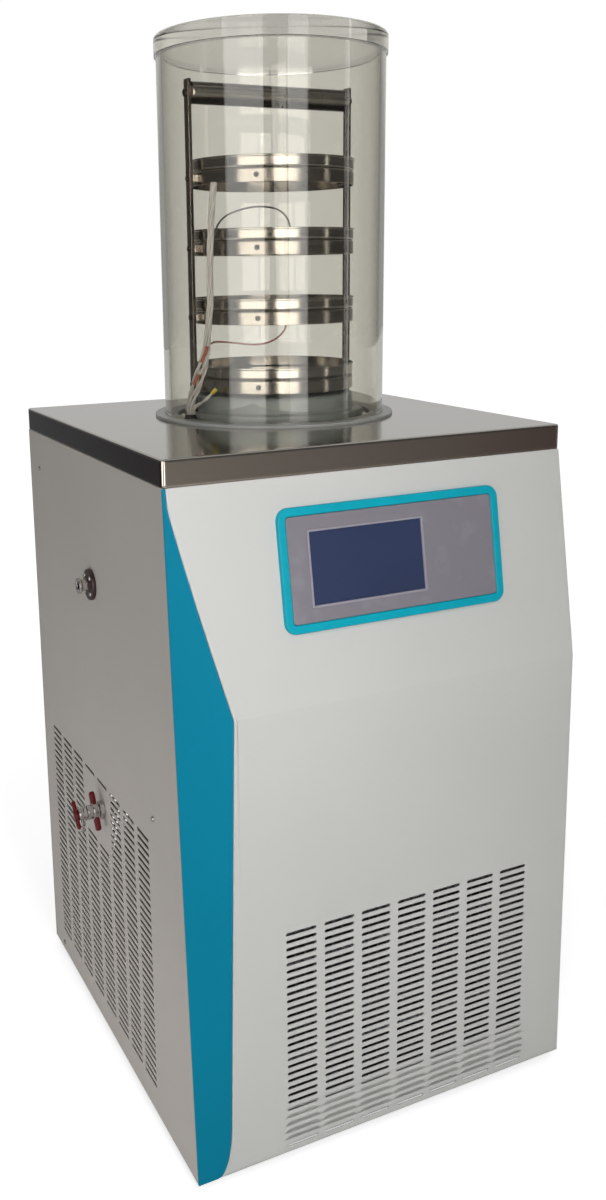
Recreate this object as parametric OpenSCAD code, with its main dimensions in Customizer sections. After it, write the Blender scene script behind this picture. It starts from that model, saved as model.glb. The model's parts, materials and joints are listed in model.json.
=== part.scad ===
// Upright laboratory freeze dryer: a sheet-metal refrigeration cabinet with a
// sloping console, a stainless top plate over the cold trap, and a clear bell
// jar that stands over a four-level heated tray rack.
// X runs to the right along the front, Y to the back, Z up from the floor.
// The origin is on the floor under the middle of the top plate.

/* [Cabinet] */
// Width of the cabinet and of its top plate
cab_w = 550; // [520:2:640]
// Depth of the top plate
cab_d = 544; // [520:2:620]
// Height of the top plate above the floor
plate_top = 895; // [880:5:960]
// Height of the folded edge of the top plate
skirt_h = 32; // [24:1:44]
// Gap between the floor and the cabinet
foot_gap = 14; // [12:1:30]
// Thickness of the panels
sheet_t = 1.5; // [1:0.1:2]
// Width of the folded flanges at the front and back of the side panels
flange_w = 20; // [14:1:24]

/* [Front] */
// Height of the crease between the console and the lower front
crease_z = 598; // [570:2:620]
// How far the crease stands out from the front of the top plate
crease_out = 46; // [36:1:56]
// How far the foot of the front stands out from the front of the top plate
base_out = 54; // [57:1:66]
// Width of the side trim at the crease
trim_w_crease = 61; // [50:1:70]
// Width of the side trim near the floor
trim_w_base = 44; // [36:1:48]
// Thickness of the side trim
trim_t = 2; // [1.6:0.1:2.6]

/* [Console] */
// Width of the bezel
bezel_w = 310; // [300:2:330]
// Height of the bezel along the slope
bezel_h = 147; // [140:1:156]
// Centre of the bezel from the middle of the cabinet
bezel_x = 14; // [0:1:20]
// Distance of the bezel from the top of the slope
bezel_drop = 36; // [30:1:44]
// Width of the bezel frame
bezel_frame = 11; // [9:0.5:13]
// Height that the bezel stands off the console
bezel_t = 5; // [4:0.5:7]
// Width of the touch screen
screen_w = 154; // [148:1:160]
// Height of the touch screen
screen_h = 86; // [80:1:90]
// Screen centre from the bezel centre, towards the left
screen_shift = 38; // [30:1:44]

/* [Vents] */
// Columns of slots in the front
front_vent_cols = 7; // [5:1:7]
// Rows of slots in the front
front_vent_rows = 30; // [20:1:31]
// Columns of slots in each side
side_vent_cols = 8; // [6:1:9]
// Rows of slots in each side
side_vent_rows = 36; // [24:1:38]
// Length of a slot
slot_l = 42; // [36:1:45]
// Height of a slot
slot_h = 4.5; // [3:0.5:5.5]
// Distance between columns of slots
slot_pitch_x = 53; // [50:1:56]
// Distance between rows of slots
slot_pitch_z = 10; // [9:0.5:11]

/* [Bell jar] */
// Outside diameter of the bell jar
jar_od = 306; // [296:2:316]
// Wall of the bell jar
jar_wall = 8; // [6:0.5:10]
// Height of the bell jar with its lid disc
jar_h = 494; // [480:2:540]
// Thickness of the lid disc
jar_lid_t = 24; // [18:1:30]
// How far the lid disc stands out past the tube
jar_lid_lip = 2.5; // [1:0.5:4]
// Thickness of the sealing ring under the jar
gasket_t = 4; // [3:0.5:6]
// Width of the sealing ring
gasket_w = 32; // [26:1:36]
// Jar centre from the middle of the top plate, to the right
jar_x = 15; // [0:1:25]
// Jar centre from the middle of the top plate, to the back
jar_y = 27; // [10:1:35]

/* [Cold trap] */
// Inside diameter of the cold trap
trap_id = 220; // [200:2:224]
// Depth of the cold trap below the top plate
trap_depth = 270; // [240:5:280]
// Wall of the cold trap
trap_wall = 1.5; // [1.2:0.1:2]
// Diameter of the refrigerant tube round the trap
coil_d = 9.5; // [8:0.5:10]
// Turns of the refrigerant tube
coil_turns = 7; // [5:1:7]
// Thickness of the foam round the trap
foam_t = 27; // [20:1:32]
// Height of the grey collar over the trap
collar_h = 31; // [26:1:33]
// Vapour opening in the collar
collar_hole_d = 110; // [90:2:130]

/* [Rack] */
// Diameter of the shelves
shelf_d = 222; // [210:1:226]
// Height of a shelf skirt
shelf_h = 18; // [14:1:22]
// Distance between levels
level_pitch = 90; // [80:1:94]
// Underside of the lowest shelf above the top plate
first_level = 38; // [37:1:44]
// Height of a tray rim
tray_h = 16; // [12:1:20]
// Wall of the trays and shelves
tray_wall = 1.2; // [1:0.1:1.5]
// Thickness of a rack post
post_t = 5; // [4:0.5:6]
// Width of a rack post
post_w = 14; // [10:1:18]
// Diameter of the crossbar
crossbar_d = 28; // [24:1:30]
// Distance from the middle of the crossbar up to the lid disc
crossbar_room = 50; // [44:1:60]

/* [Fittings] */
// Depth of the vacuum port below the top plate
port_drop = 206; // [203:1:225]
// Vacuum port from the middle of the cabinet, to the back
port_y = -5; // [-20:1:10]
// Bore of the vacuum port
port_bore_d = 12; // [10:0.5:13]
// Outside diameter of the vacuum pipe
port_pipe_d = 16; // [15:0.5:18]
// Diameter of the bolted flange of the vacuum port
port_flange_d = 42; // [38:1:46]
// Height of the drain above the floor
drain_z = 368; // [350:1:380]
// Drain from the middle of the cabinet, to the back
drain_y = -13; // [-20:1:0]
// Span of the drain cock's two wings
drain_handle_l = 54; // [44:1:58]
// Length of the air cock's handle
air_handle_l = 40; // [30:1:44]
// Radial running clearance of every stem and shaft
run_gap = 0.05; // [0.03:0.01:0.08]

/* [Refrigeration] */
// Diameter of the compressor shell
comp_d = 190; // [170:2:200]
// Height of the compressor shell
comp_h = 220; // [190:5:240]
// Width of the condenser
cond_w = 350; // [320:5:360]
// Height of the condenser
cond_h = 288; // [260:4:300]
// Depth of the condenser
cond_t = 44; // [36:2:50]
// Diameter of the fan
fan_d = 230; // [200:2:240]
// Blades of the fan
fan_blades = 5; // [3:1:7]

/* [Hidden] */
$fn = 64;
eps = 0.01;
fit = 0.3;                 // clear gap between neighbouring pieces
body_top = plate_top - skirt_h;
body_bottom = foot_gap;
front_y = -cab_d / 2;
rear_y = cab_d / 2;
side_x = cab_w / 2;
plate_z = plate_top;       // upper face of the top plate
plate_under = plate_top - sheet_t;
port_z = plate_top - port_drop;
console_rise = body_top - crease_z;
console_tilt = atan(crease_out / console_rise);
console_len = norm([crease_out, console_rise]);

// Front profile in (Y, Z): top edge, crease and foot
front_top = [front_y, body_top];
front_crease = [front_y - crease_out, crease_z];
front_foot = [front_y - base_out, body_bottom];

function lerp(a, b, t) = a + (b - a) * t;
// Y of the front skin and of the straight left-hand edge at height z
function front_skin_y(z) = z > crease_z
    ? lerp(front_top[0], front_crease[0], (body_top - z) / console_rise)
    : lerp(front_crease[0], front_foot[0], (crease_z - z) / (crease_z - body_bottom));
function left_edge_y(z) = lerp(front_top[0], front_foot[0], (body_top - z) / (body_top - body_bottom));

// Moves each edge of an anticlockwise outline inwards by its own distance
function unit(v) = v / norm(v);
function edge_normal(p, i) = let (e = unit(p[(i + 1) % len(p)] - p[i])) [-e[1], e[0]];
function inset_edges(p, d) = [for (i = [0 : len(p) - 1])
    let (j = (i + len(p) - 1) % len(p), a = edge_normal(p, j), b = edge_normal(p, i),
         det = a[0] * b[1] - a[1] * b[0])
    p[i] + [d[j] * b[1] - d[i] * a[1], d[i] * a[0] - d[j] * b[0]] / det];

return_d = 14;             // folded returns of the front and of its trim
return_top_z = lerp(crease_z, body_top, 0.536);
front_reach = 400;         // longer than the front is deep

// Trim edge: a curve that widens from the top to the crease, then narrows
trim_bow = 1.12;
trim_foot_r = 60;
trim_foot_in = 16;
function trim_foot_step(z) = let (u = max(0, (trim_foot_r - (z - body_bottom)) / trim_foot_r))
    trim_foot_in * (1 - sqrt(max(0, 1 - u * u)));
function trim_width(z) = z > crease_z
    ? trim_w_crease * pow((body_top - z) / console_rise, trim_bow)
    : lerp(trim_w_crease, trim_w_base, (crease_z - z) / (crease_z - body_bottom)) - trim_foot_step(z);
function trim_x(z) = -side_x + trim_width(z);
trim_rows_up = 10;
trim_rows_down = 5;
trim_rows_foot = 6;
trim_top_cut = 12;         // the trim starts this far below the top plate's edge
trim_zs = concat(
    [for (i = [0 : trim_rows_up]) lerp(body_top - trim_top_cut, crease_z, i / trim_rows_up)],
    [for (i = [1 : trim_rows_down]) lerp(crease_z, body_bottom + trim_foot_r, i / trim_rows_down)],
    [for (i = [1 : trim_rows_foot]) body_bottom + trim_foot_r * (1 - sin(90 * i / trim_rows_foot))]);

// Screws of the panels
shank_r = 2;
shank_hole_r = 2.2;
shank_l = 4.5;
rear_screw_in = 12;
side_screw_in = 52;
rear_screw_zs = [60, 320, 580, 835];

// Vents
front_vent_x = 28;
front_vent_z = body_bottom + 10;
side_vent_y = 16;
side_vent_z = 54;
valve_blank_rows = 9;      // rows left out round the drain, below the top row
valve_blank_cols = [3, 4]; // columns left out, counted from the back

// Bell jar and trap
jar_r = jar_od / 2;
jar_ir = jar_r - jar_wall;
jar_base_z = plate_z + gasket_t - 1;
jar_top_z = plate_z + gasket_t + jar_h;
trap_ir = trap_id / 2;
trap_or = trap_ir + trap_wall;
trap_floor_z = plate_z - trap_depth;
foam_under = trap_floor_z - foam_t;
coil_steps = 20;           // rings of the coil in a turn
coil_r = (trap_or + coil_d / 2 + fit) / cos(180 / coil_steps);
coil_top_gap = 43;
coil_bottom_z = port_z + (port_pipe_d + coil_d) / 2 + 3.25;
coil_pitch = (plate_z - coil_top_gap - coil_bottom_z) / coil_turns;
foam_ir = coil_r + coil_d / 2 + fit;
foam_top_gap = 6;          // room under the plate for the gland
foam_or = foam_ir + foam_t;

// Rack
rack_z = plate_z + first_level;
post_gap = 6.5;            // between the rim of a shelf and the post
post_in_x = shelf_d / 2 + post_gap;
post_out_x = post_in_x + post_t;
crossbar_z = gasket_t + jar_h - jar_lid_t - crossbar_room;
post_top_z = plate_z + crossbar_z + crossbar_d / 2 + 3;

// Collar, trap flange, sealing ring and wiring gland share the room between
// the posts and the jar
collar_r = lerp(post_out_x, jar_ir, 0.155);
collar_top_r = post_in_x - 5.5;
collar_step_z = 9;
trap_flange_r = lerp(trap_or, collar_r, 0.93);
trap_flange_t = 1.5;
collar_base_z = plate_z + trap_flange_t;
post_foot_z = collar_base_z + collar_step_z;
gasket_ir = lerp(collar_r, jar_ir, 0.475);
gasket_or = gasket_ir + gasket_w;
gland_r = 0.45 * (jar_ir - collar_r);
gland_waist_r = 0.8 * gland_r;
gland_azimuth = 188.9;
gland_reach = (collar_r + jar_ir) / 2;
gland_pos = [jar_x + gland_reach * cos(gland_azimuth), jar_y + gland_reach * sin(gland_azimuth)];
gland_drop = 4;            // how far the gland reaches below the plate
gland_rise = 9;            // and above it
levels = 4;
tray_d = shelf_d + 2;
probe_azimuth = -127;

// Fittings on the left side
port_r = port_bore_d / 2;
pipe_r = port_pipe_d / 2;
port_flange_t = 8;
port_screw_r = 15;
port_pipe_end = 16;
port_ferrule_r = 11;
port_ferrule_t = 3;
port_spigot_in = 7;
duct_step = 1;             // the duct's bore is this much wider all round than the port's
bulkhead_r = 8;
bulkhead_bore = 5;
bulkhead_in = 14;
hex_t = 7;
cock_r = 8;
cock_l = 18;
cock_shoulder = 2;
seat_l = 8.8;              // plain part of the drain cock that carries the winged sleeve
sleeve_t = 7;
sleeve_r = 11;
sleeve_gap = 1.5;          // between the sleeve and the nut
wing_w = 10;
wing_root_w = 7;
air_cock_l = 11;
stem_r = 3;
air_x = hex_t + cock_l + air_cock_l;
handle_t = 5;
drain_tilt = 32;
air_tilt = 40;

// Base and refrigeration
pan_t = 2;
pan_up = 25;
pan_x = side_x - sheet_t - fit;
pan_front = front_y - base_out + return_d + 3 * fit;
pan_rear = rear_y - 2 * sheet_t - fit;
pan_floor = foot_gap + pan_t;
pan_slots = 6;
pan_slot_x = 95;
pan_slot_y = 30;
pan_slot_l = 60;
pan_slot_pitch = 24;
foot_bore_r = 5;
post_leg = 25;
post_sheet = 2.5;
frame_x = pan_x - pan_t;
frame_front = front_y + 6;
frame_rear = pan_rear - pan_t;
foot_inset = 60;
comp_foot_h = 12;
comp_foot_r = 11;
comp_foot_out = 1.12;      // feet stand at this share of the shell's radius
comp_reach = comp_d / 2 * comp_foot_out * cos(45) + comp_foot_r;
comp_pos = [foot_inset - pan_x + foot_bore_r + 2 + comp_reach, pan_rear - foot_inset - 2.5 - comp_reach];
cond_x = 30;
cond_front = front_y - 10;
cond_side = cond_x - cond_w / 2;
cond_z = pan_floor + 14;
cond_rear = cond_front + cond_t;
fan_z = cond_z + cond_h / 2;
shroud_t = 32;
fan_y = cond_rear + shroud_t / 2 + 1;
hub_r = 32;
shaft_r = 4;
motor_y = cond_rear + shroud_t + 8;
receiver_pos = [150, 60];
receiver_r = 45;
receiver_h = 180;
electric_z = 420;
electric_h = 170;
inlet_x = 180;
inlet_z = 640;

// ---- Shared shapes ----

// Rectangle with round corners, centred
module round_rect(w, h, r) {
    square([w - 2 * r, h], center = true);
    square([w, h - 2 * r], center = true);
    for (x = [-1, 1], y = [-1, 1])
        translate([x * (w / 2 - r), y * (h / 2 - r)]) circle(r);
}

// Extrudes a (Y, Z) outline along +X
module along_x(length) { rotate([90, 0, 90]) linear_extrude(length) children(); }

// Extrudes an (X, Z) outline along -Y
module along_y(length) { rotate([90, 0, 0]) linear_extrude(length) children(); }

// Cylinder along X or Y from the given point
module rod_x(p, r, length) { translate(p) rotate([0, 90, 0]) cylinder(r = r, h = length); }
module rod_y(p, r, length) { translate(p) rotate([-90, 0, 0]) cylinder(r = r, h = length); }

// Grid of slots; skip(row, column) leaves a slot out
module slot_grid(cols, rows, origin, blank_cols = [], blank_from = 1, blank_count = 0) {
    for (c = [0 : cols - 1], r = [0 : rows - 1])
        if (!(len(search(c, blank_cols)) > 0 && rows - 1 - r >= blank_from
              && rows - 1 - r < blank_from + blank_count))
            translate(origin + [(cols - 1) * slot_pitch_x / 2 - c * slot_pitch_x - slot_l / 2,
                                r * slot_pitch_z - slot_h / 2])
                slot_shape();
}
// Slot with round ends, drawn from its lower left corner
module slot_shape() {
    translate([slot_h / 2, 0]) square([slot_l - slot_h, slot_h]);
    for (x = [slot_h / 2, slot_l - slot_h / 2]) translate([x, slot_h / 2]) circle(d = slot_h, $fn = 16);
}

// Places children on the sloping console: X right, Y up the slope, Z outwards
module on_console() {
    translate([0, front_top[0], front_top[1]]) rotate([90 - console_tilt, 0, 0]) children();
}
bezel_mid = [bezel_x, -bezel_drop - bezel_h / 2];

// Tube swept along a list of points
function path_dir(p, i) = unit(p[min(i + 1, len(p) - 1)] - p[max(i - 1, 0)]);
function side_dir(d) = unit(cross(d, abs(d[2]) > 0.9 ? [0, 1, 0] : [0, 0, 1]));
function ring_points(p, i, r, n) = let (d = path_dir(p, i), u = side_dir(d), v = cross(d, u))
    [for (k = [0 : n - 1]) p[i] + r * (cos(360 * k / n) * u + sin(360 * k / n) * v)];
module swept_tube(p, r, n = 8) {
    m = len(p);
    pts = [for (i = [0 : m - 1]) each ring_points(p, i, r, n)];
    sides = [for (i = [0 : m - 2], k = [0 : n - 1])
        let (a = i * n + k, b = i * n + (k + 1) % n) each [[a, a + n, b], [b, a + n, b + n]]];
    near = [for (k = [0 : n - 1]) k];
    far = [for (k = [n - 1 : -1 : 0]) (m - 1) * n + k];
    polyhedron(pts, concat(sides, [near], [far]));
}
// Smooth curve through the points, with a number of steps in each span
function spline_at(a, b, c, d, t) = 0.5 * ((2 * b) + (c - a) * t
    + (2 * a - 5 * b + 4 * c - d) * t * t + (3 * b - a - 3 * c + d) * t * t * t);
function spline(p, steps) = concat(
    [for (i = [0 : len(p) - 2], s = [0 : steps - 1])
        spline_at(p[max(i - 1, 0)], p[i], p[i + 1], p[min(i + 2, len(p) - 1)], s / steps)],
    [p[len(p) - 1]]);

// ---- Cabinet ----

// Bottom tray with an upstand all round and four threaded bosses for the feet
module base_pan() color("silver") difference() {
    translate([-pan_x, pan_front, foot_gap]) cube([2 * pan_x, pan_rear - pan_front, pan_t + pan_up]);
    translate([-pan_x + pan_t, pan_front + pan_t, pan_floor])
        cube([2 * (pan_x - pan_t), pan_rear - pan_front - 2 * pan_t, pan_up + 1]);
    for (p = foot_places()) translate([p[0], p[1], 0]) cylinder(r = foot_bore_r + run_gap, h = 60);
    for (p = side_screws()) if (p[1] < pan_floor + pan_up) rod_x([-side_x, p[0], p[1]], shank_hole_r, cab_w);
    for (i = [0 : pan_slots - 1], s = [-1, 1])
        translate([s * pan_slot_x - pan_slot_l / 2, pan_slot_y + i * pan_slot_pitch, 0])
            cube([pan_slot_l, 8, pan_floor + 1]);
}
function foot_places() = [for (x = [-1, 1], y = [pan_front + foot_inset, pan_rear - foot_inset])
    [x * (pan_x - foot_inset), y]];

// Screw-in feet: pad, lock collar and threaded stem
module levelling_feet() color([0.16, 0.16, 0.17])
    for (p = foot_places()) translate([p[0], p[1], 0]) {
        rotate_extrude() polygon([[0, 0], [19, 0], [20, 1], [20, 5], [18, 7], [9, 7], [9, foot_gap],
            [foot_bore_r, foot_gap], [foot_bore_r, foot_gap + 18], [foot_bore_r - 1, foot_gap + 19],
            [0, foot_gap + 19]]);
    }

// Folded corner post, with its corner at the given place
module corner_post(x, y, sx, sy) color([0.62, 0.63, 0.64])
    translate([x, y, pan_floor]) {
        h = body_top - fit - pan_floor;
        translate([sx > 0 ? 0 : -post_leg, sy > 0 ? 0 : -post_sheet, 0]) cube([post_leg, post_sheet, h]);
        translate([sx > 0 ? 0 : -post_sheet, sy > 0 ? 0 : -post_leg, 0]) cube([post_sheet, post_leg, h]);
    }
module post_front_left() corner_post(-frame_x, frame_front, 1, 1);
module post_front_right() corner_post(frame_x, frame_front, -1, 1);
module post_rear_left() corner_post(-frame_x, frame_rear, 1, -1);
module post_rear_right() corner_post(frame_x, frame_rear, -1, -1);

// Side outline in (Y, Z), anticlockwise seen from +X
left_outline = [[rear_y - sheet_t, body_bottom], [rear_y - sheet_t, body_top], front_top, front_foot];
right_outline = [[rear_y - sheet_t, body_bottom], [rear_y - sheet_t, body_top], front_top,
    front_crease, front_foot];
left_skin = inset_edges(left_outline, [0, 0, trim_t * 1.2, 0]);
right_skin = inset_edges(right_outline, [0, 0, sheet_t, sheet_t, 0]);
left_hollow = inset_edges(left_skin, [sheet_t, -1, sheet_t, -1]);
right_hollow = inset_edges(right_skin, [sheet_t, -1, sheet_t, sheet_t, -1]);

// Side panel: slotted skin with a flange at the front and one at the back
module side_panel(skin, hollow) {
    along_x(sheet_t) difference() {
        polygon(skin);
        children();
    }
    difference() {
        translate([sheet_t, 0, 0]) along_x(flange_w - sheet_t) difference() {
            polygon(skin);
            polygon(hollow);
        }
        for (z = rear_screw_zs) rod_y([rear_screw_in, 0, z], shank_hole_r, rear_y);
    }
}
function side_screws() = [[rear_y - side_screw_in, 811], [front_y + side_screw_in + 10, 444],
    [rear_y - side_screw_in, pan_floor + pan_up / 2]];
module side_screw_holes() for (p = side_screws()) translate(p) circle(shank_hole_r);
module left_side_panel() color([0.78, 0.77, 0.74]) translate([-side_x, 0, 0])
    side_panel(left_skin, left_hollow) {
        union() {
            slot_grid(side_vent_cols, side_vent_rows, [side_vent_y, side_vent_z],
                valve_blank_cols, 1, valve_blank_rows);
            side_screw_holes();
            translate([port_y, port_z]) circle(pipe_r + 0.2);
            translate([drain_y, drain_z]) circle(bulkhead_r + 0.2);
        }
    }
module right_side_panel() color([0.78, 0.77, 0.74]) translate([side_x, 0, 0]) mirror([1, 0, 0])
    side_panel(right_skin, right_hollow) {
        union() {
            slot_grid(side_vent_cols, side_vent_rows, [side_vent_y, side_vent_z]);
            side_screw_holes();
        }
    }

// Back panel, screwed over the rear flanges of the sides
function rear_screws() = [for (x = [-1, 1], z = rear_screw_zs) [x * (side_x - rear_screw_in), z]];
module rear_panel() color([0.78, 0.77, 0.74]) translate([0, rear_y, 0]) along_y(sheet_t) difference() {
    translate([-side_x, body_bottom]) square([cab_w, body_top - body_bottom]);
    slot_grid(7, 24, [0, 70]);
    for (p = rear_screws()) translate(p) circle(shank_hole_r);
    translate([inlet_x, inlet_z]) square([50, 62], center = true);
}

// Folded front: sloping console above the crease, slotted panel below it
function front_band(depth) = let (q = inset_edges(right_outline, [0, 0, depth, depth, 0]))
    [front_top, front_crease, front_foot, q[4], q[3], q[2]];
module fascia_outline(shift) polygon(concat(
    [[side_x, body_bottom], [side_x, body_top], [trim_x(body_top - trim_top_cut) + shift, body_top]],
    [for (z = trim_zs) [trim_x(z) + shift, z]]));
module front_fascia() color([0.86, 0.86, 0.84]) {
    difference() {
        intersection() {
            translate([-side_x, 0, 0]) along_x(cab_w) polygon(front_band(sheet_t));
            along_y(front_reach) fascia_outline(fit);
        }
        along_y(front_reach) slot_grid(front_vent_cols, front_vent_rows, [front_vent_x, front_vent_z]);
        on_console() translate([bezel_mid[0] - screen_shift, bezel_mid[1], -20])
            linear_extrude(40) square([screen_w + 2, screen_h + 2], center = true);
    }
    intersection() {
        translate([-side_x, 0, 0]) along_x(cab_w) polygon(front_band(return_d));
        along_y(front_reach) intersection() {
            difference() {
                fascia_outline(fit);
                fascia_outline(fit + sheet_t);
            }
            translate([-side_x, body_bottom]) square([cab_w, return_top_z - body_bottom]);
        }
    }
}
// Coloured trim between the left side and the front: a twisting strip with a
// return along its inner edge, built from level sections
function trim_section(z) = let (xb = trim_x(z), yf = front_skin_y(z), ys = left_edge_y(z),
        w = max(0.8, trim_width(z)), lip = z > return_top_z ? trim_t + 0.4 : return_d, x1 = -side_x + w)
    [[-side_x, ys, z], [x1, yf, z], [x1, yf + lip, z], [x1 - min(w / 3, 1.5), yf + lip, z],
     [x1 - min(w / 3, 1.5), yf + trim_t + (ys - yf) * min(w / 3, 1.5) / w, z], [-side_x, ys + trim_t, z]];
module left_trim() color([0, 0.49, 0.61]) {
    rows = len(trim_zs);
    pts = [for (z = trim_zs) each trim_section(z)];
    polyhedron(pts, concat(
        [for (i = [0 : rows - 2], k = [0 : 5]) let (a = i * 6 + k, b = i * 6 + (k + 1) % 6)
            each [[a, b, a + 6], [b, b + 6, a + 6]]],
        [[for (k = [5 : -1 : 0]) k]], [[for (k = [0 : 5]) (rows - 1) * 6 + k]]));
}

// Stainless top plate with folded edges, a hem and the opening for the trap
plate_corner_r = 4;
hem_w = 12;
module top_plate() color([0.7, 0.69, 0.67]) difference() {
    translate([0, 0, body_top]) linear_extrude(skirt_h) round_rect(cab_w, cab_d, plate_corner_r);
    translate([0, 0, body_top + sheet_t]) linear_extrude(skirt_h - 2 * sheet_t)
        round_rect(cab_w - 2 * sheet_t, cab_d - 2 * sheet_t, plate_corner_r - sheet_t);
    translate([0, 0, body_top - 1]) linear_extrude(skirt_h - 2 * sheet_t)
        square([cab_w - 2 * sheet_t - 2 * hem_w, cab_d - 2 * sheet_t - 2 * hem_w], center = true);
    translate([jar_x, jar_y, body_top]) cylinder(r = trap_or + 0.5, h = skirt_h + 1);
    translate([gland_pos[0], gland_pos[1], body_top]) cylinder(r = gland_waist_r + 0.2, h = skirt_h + 1);
}

// ---- Console ----

overlay_w = bezel_w - 2 * bezel_frame;
overlay_h = bezel_h - 2 * bezel_frame;
module console_bezel() color([0, 0.62, 0.69]) on_console() translate([bezel_mid[0], bezel_mid[1], 0])
    difference() {
        linear_extrude(bezel_t) round_rect(bezel_w, bezel_h, 15);
        translate([0, 0, -1]) linear_extrude(bezel_t + 2) round_rect(overlay_w, overlay_h, 7);
    }
module control_overlay() color([0.5, 0.49, 0.52]) on_console() translate([bezel_mid[0], bezel_mid[1], 0])
    difference() {
        linear_extrude(bezel_t - 1.5) round_rect(overlay_w - fit, overlay_h - fit, 7 - fit / 2);
        translate([-screen_shift, 0, -1]) linear_extrude(bezel_t) square([screen_w + 6, screen_h + 6], center = true);
    }
module screen_frame() color([0.72, 0.71, 0.73]) on_console()
    translate([bezel_mid[0] - screen_shift, bezel_mid[1], 0]) difference() {
        linear_extrude(bezel_t - 0.7) square([screen_w + 6 - fit, screen_h + 6 - fit], center = true);
        translate([0, 0, -1]) linear_extrude(bezel_t + 1) square([screen_w, screen_h], center = true);
    }
screen_back = sheet_t;
module touch_screen() color([0.16, 0.2, 0.33]) on_console()
    translate([bezel_mid[0] - screen_shift, bezel_mid[1], -screen_back])
        linear_extrude(screen_back + bezel_t - 2.5) square([screen_w - fit, screen_h - fit], center = true);
housing_d = 38;
module display_housing() color([0.2, 0.2, 0.21]) on_console()
    translate([bezel_mid[0] - screen_shift, bezel_mid[1], -sheet_t - housing_d]) difference() {
        linear_extrude(housing_d) round_rect(screen_w + 22, screen_h + 20, 4);
        translate([0, -screen_h / 2 + 6, -1]) linear_extrude(9) square([60, 14], center = true);
    }

// Small domed screws: shank through the sheet, head outside
module dome_screw(head_r, head_h, shank_r, shank_l) {
    rotate_extrude($fn = 24) polygon([[0, -shank_l], [shank_r, -shank_l], [shank_r, 0], [head_r, 0],
        [head_r, head_h * 0.4], [head_r * 0.75, head_h * 0.85], [head_r * 0.35, head_h], [0, head_h]]);
}
module panel_screws() color([0.75, 0.75, 0.74]) {
    for (p = side_screws(), s = [-1, 1])
        translate([s * side_x, p[0], p[1]]) rotate([0, s * 90, 0]) dome_screw(4, 2.4, shank_r, shank_l);
    for (p = rear_screws())
        translate([p[0], rear_y, p[1]]) rotate([-90, 0, 0]) dome_screw(4, 2.4, shank_r, shank_l);
}

// ---- Vacuum port and drain ----

module vacuum_port() color([0.62, 0.6, 0.6]) difference() {
    union() {
        rod_x([-side_x - port_flange_t, port_y, port_z], port_flange_d / 2, port_flange_t);
        rod_x([-side_x - port_pipe_end, port_y, port_z], pipe_r, port_pipe_end + port_spigot_in);
        rod_x([-side_x - port_pipe_end - port_ferrule_t, port_y, port_z], port_ferrule_r, port_ferrule_t);
    }
    rod_x([-side_x - 40, port_y, port_z], port_r, 80);
    for (a = [45 : 90 : 315])
        translate([0, port_screw_r * cos(a), port_screw_r * sin(a)])
            rod_x([-side_x - 20, port_y, port_z], 1.6, 40);
}
module vacuum_port_screws() color([0.8, 0.8, 0.8])
    for (a = [45 : 90 : 315])
        translate([-side_x - port_flange_t, port_y + port_screw_r * cos(a), port_z + port_screw_r * sin(a)])
            rotate([0, -90, 0]) dome_screw(3, 2.2, 1.5, port_flange_t - 0.5);
module vacuum_duct() color([0.66, 0.65, 0.64]) difference() {
    rod_x([-side_x + port_spigot_in, port_y, port_z], pipe_r, duct_l);
    rod_x([-side_x, port_y, port_z], port_r + duct_step, duct_l + 20);
}
duct_l = side_x - port_spigot_in + jar_x - sqrt(trap_ir * trap_ir - pow(jar_y - port_y, 2)) + 3;

module drain_bulkhead() color([0.78, 0.78, 0.76]) difference() {
    union() {
        rod_x([-side_x - hex_t, drain_y, drain_z], bulkhead_r, hex_t + bulkhead_in);
        translate([-side_x - hex_t, drain_y, drain_z]) rotate([0, 90, 0]) cylinder(r = 12.7, h = hex_t, $fn = 6);
        translate([-side_x + sheet_t, drain_y, drain_z]) rotate([0, 90, 0]) cylinder(r = 12.7, h = 5, $fn = 6);
    }
    rod_x([-side_x - 30, drain_y, drain_z], bulkhead_bore, 80);
}
// Drain cock: a shoulder and a plain seat, on which the winged sleeve turns
module drain_cock() color([0.74, 0.74, 0.72]) difference() {
    translate([-side_x - hex_t - cock_l, drain_y, drain_z]) rotate([0, 90, 0]) rotate_extrude()
        polygon([[0, 0], [cock_r, 0], [cock_r + cock_shoulder, 1.5], [cock_r + cock_shoulder, cock_l - seat_l],
            [cock_r, cock_l - seat_l], [cock_r, cock_l], [0, cock_l]]);
    rod_x([-side_x - 60, drain_y, drain_z], bulkhead_bore, 80);
}
module wing_bar(l, w, t) {
    linear_extrude(t) {
        round_rect(w, l, w / 2 - 0.1);
        circle(w * 0.75);
    }
}
module drain_handle() color([0.62, 0.05, 0.08])
    translate([-side_x - hex_t - sleeve_gap, drain_y, drain_z]) rotate([0, -90, 0])
        rotate([0, 0, 90 + drain_tilt]) difference() {
            linear_extrude(sleeve_t) {
                circle(sleeve_r);
                for (a = [0, 180]) rotate(a) {
                    polygon([[-wing_root_w / 2, 0], [wing_root_w / 2, 0], [wing_w / 2, drain_handle_l / 2 - wing_w / 2],
                        [-wing_w / 2, drain_handle_l / 2 - wing_w / 2]]);
                    translate([0, drain_handle_l / 2 - wing_w / 2]) circle(wing_w / 2);
                }
            }
            translate([0, 0, -1]) cylinder(r = cock_r + run_gap, h = sleeve_t + 2);
        }
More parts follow.
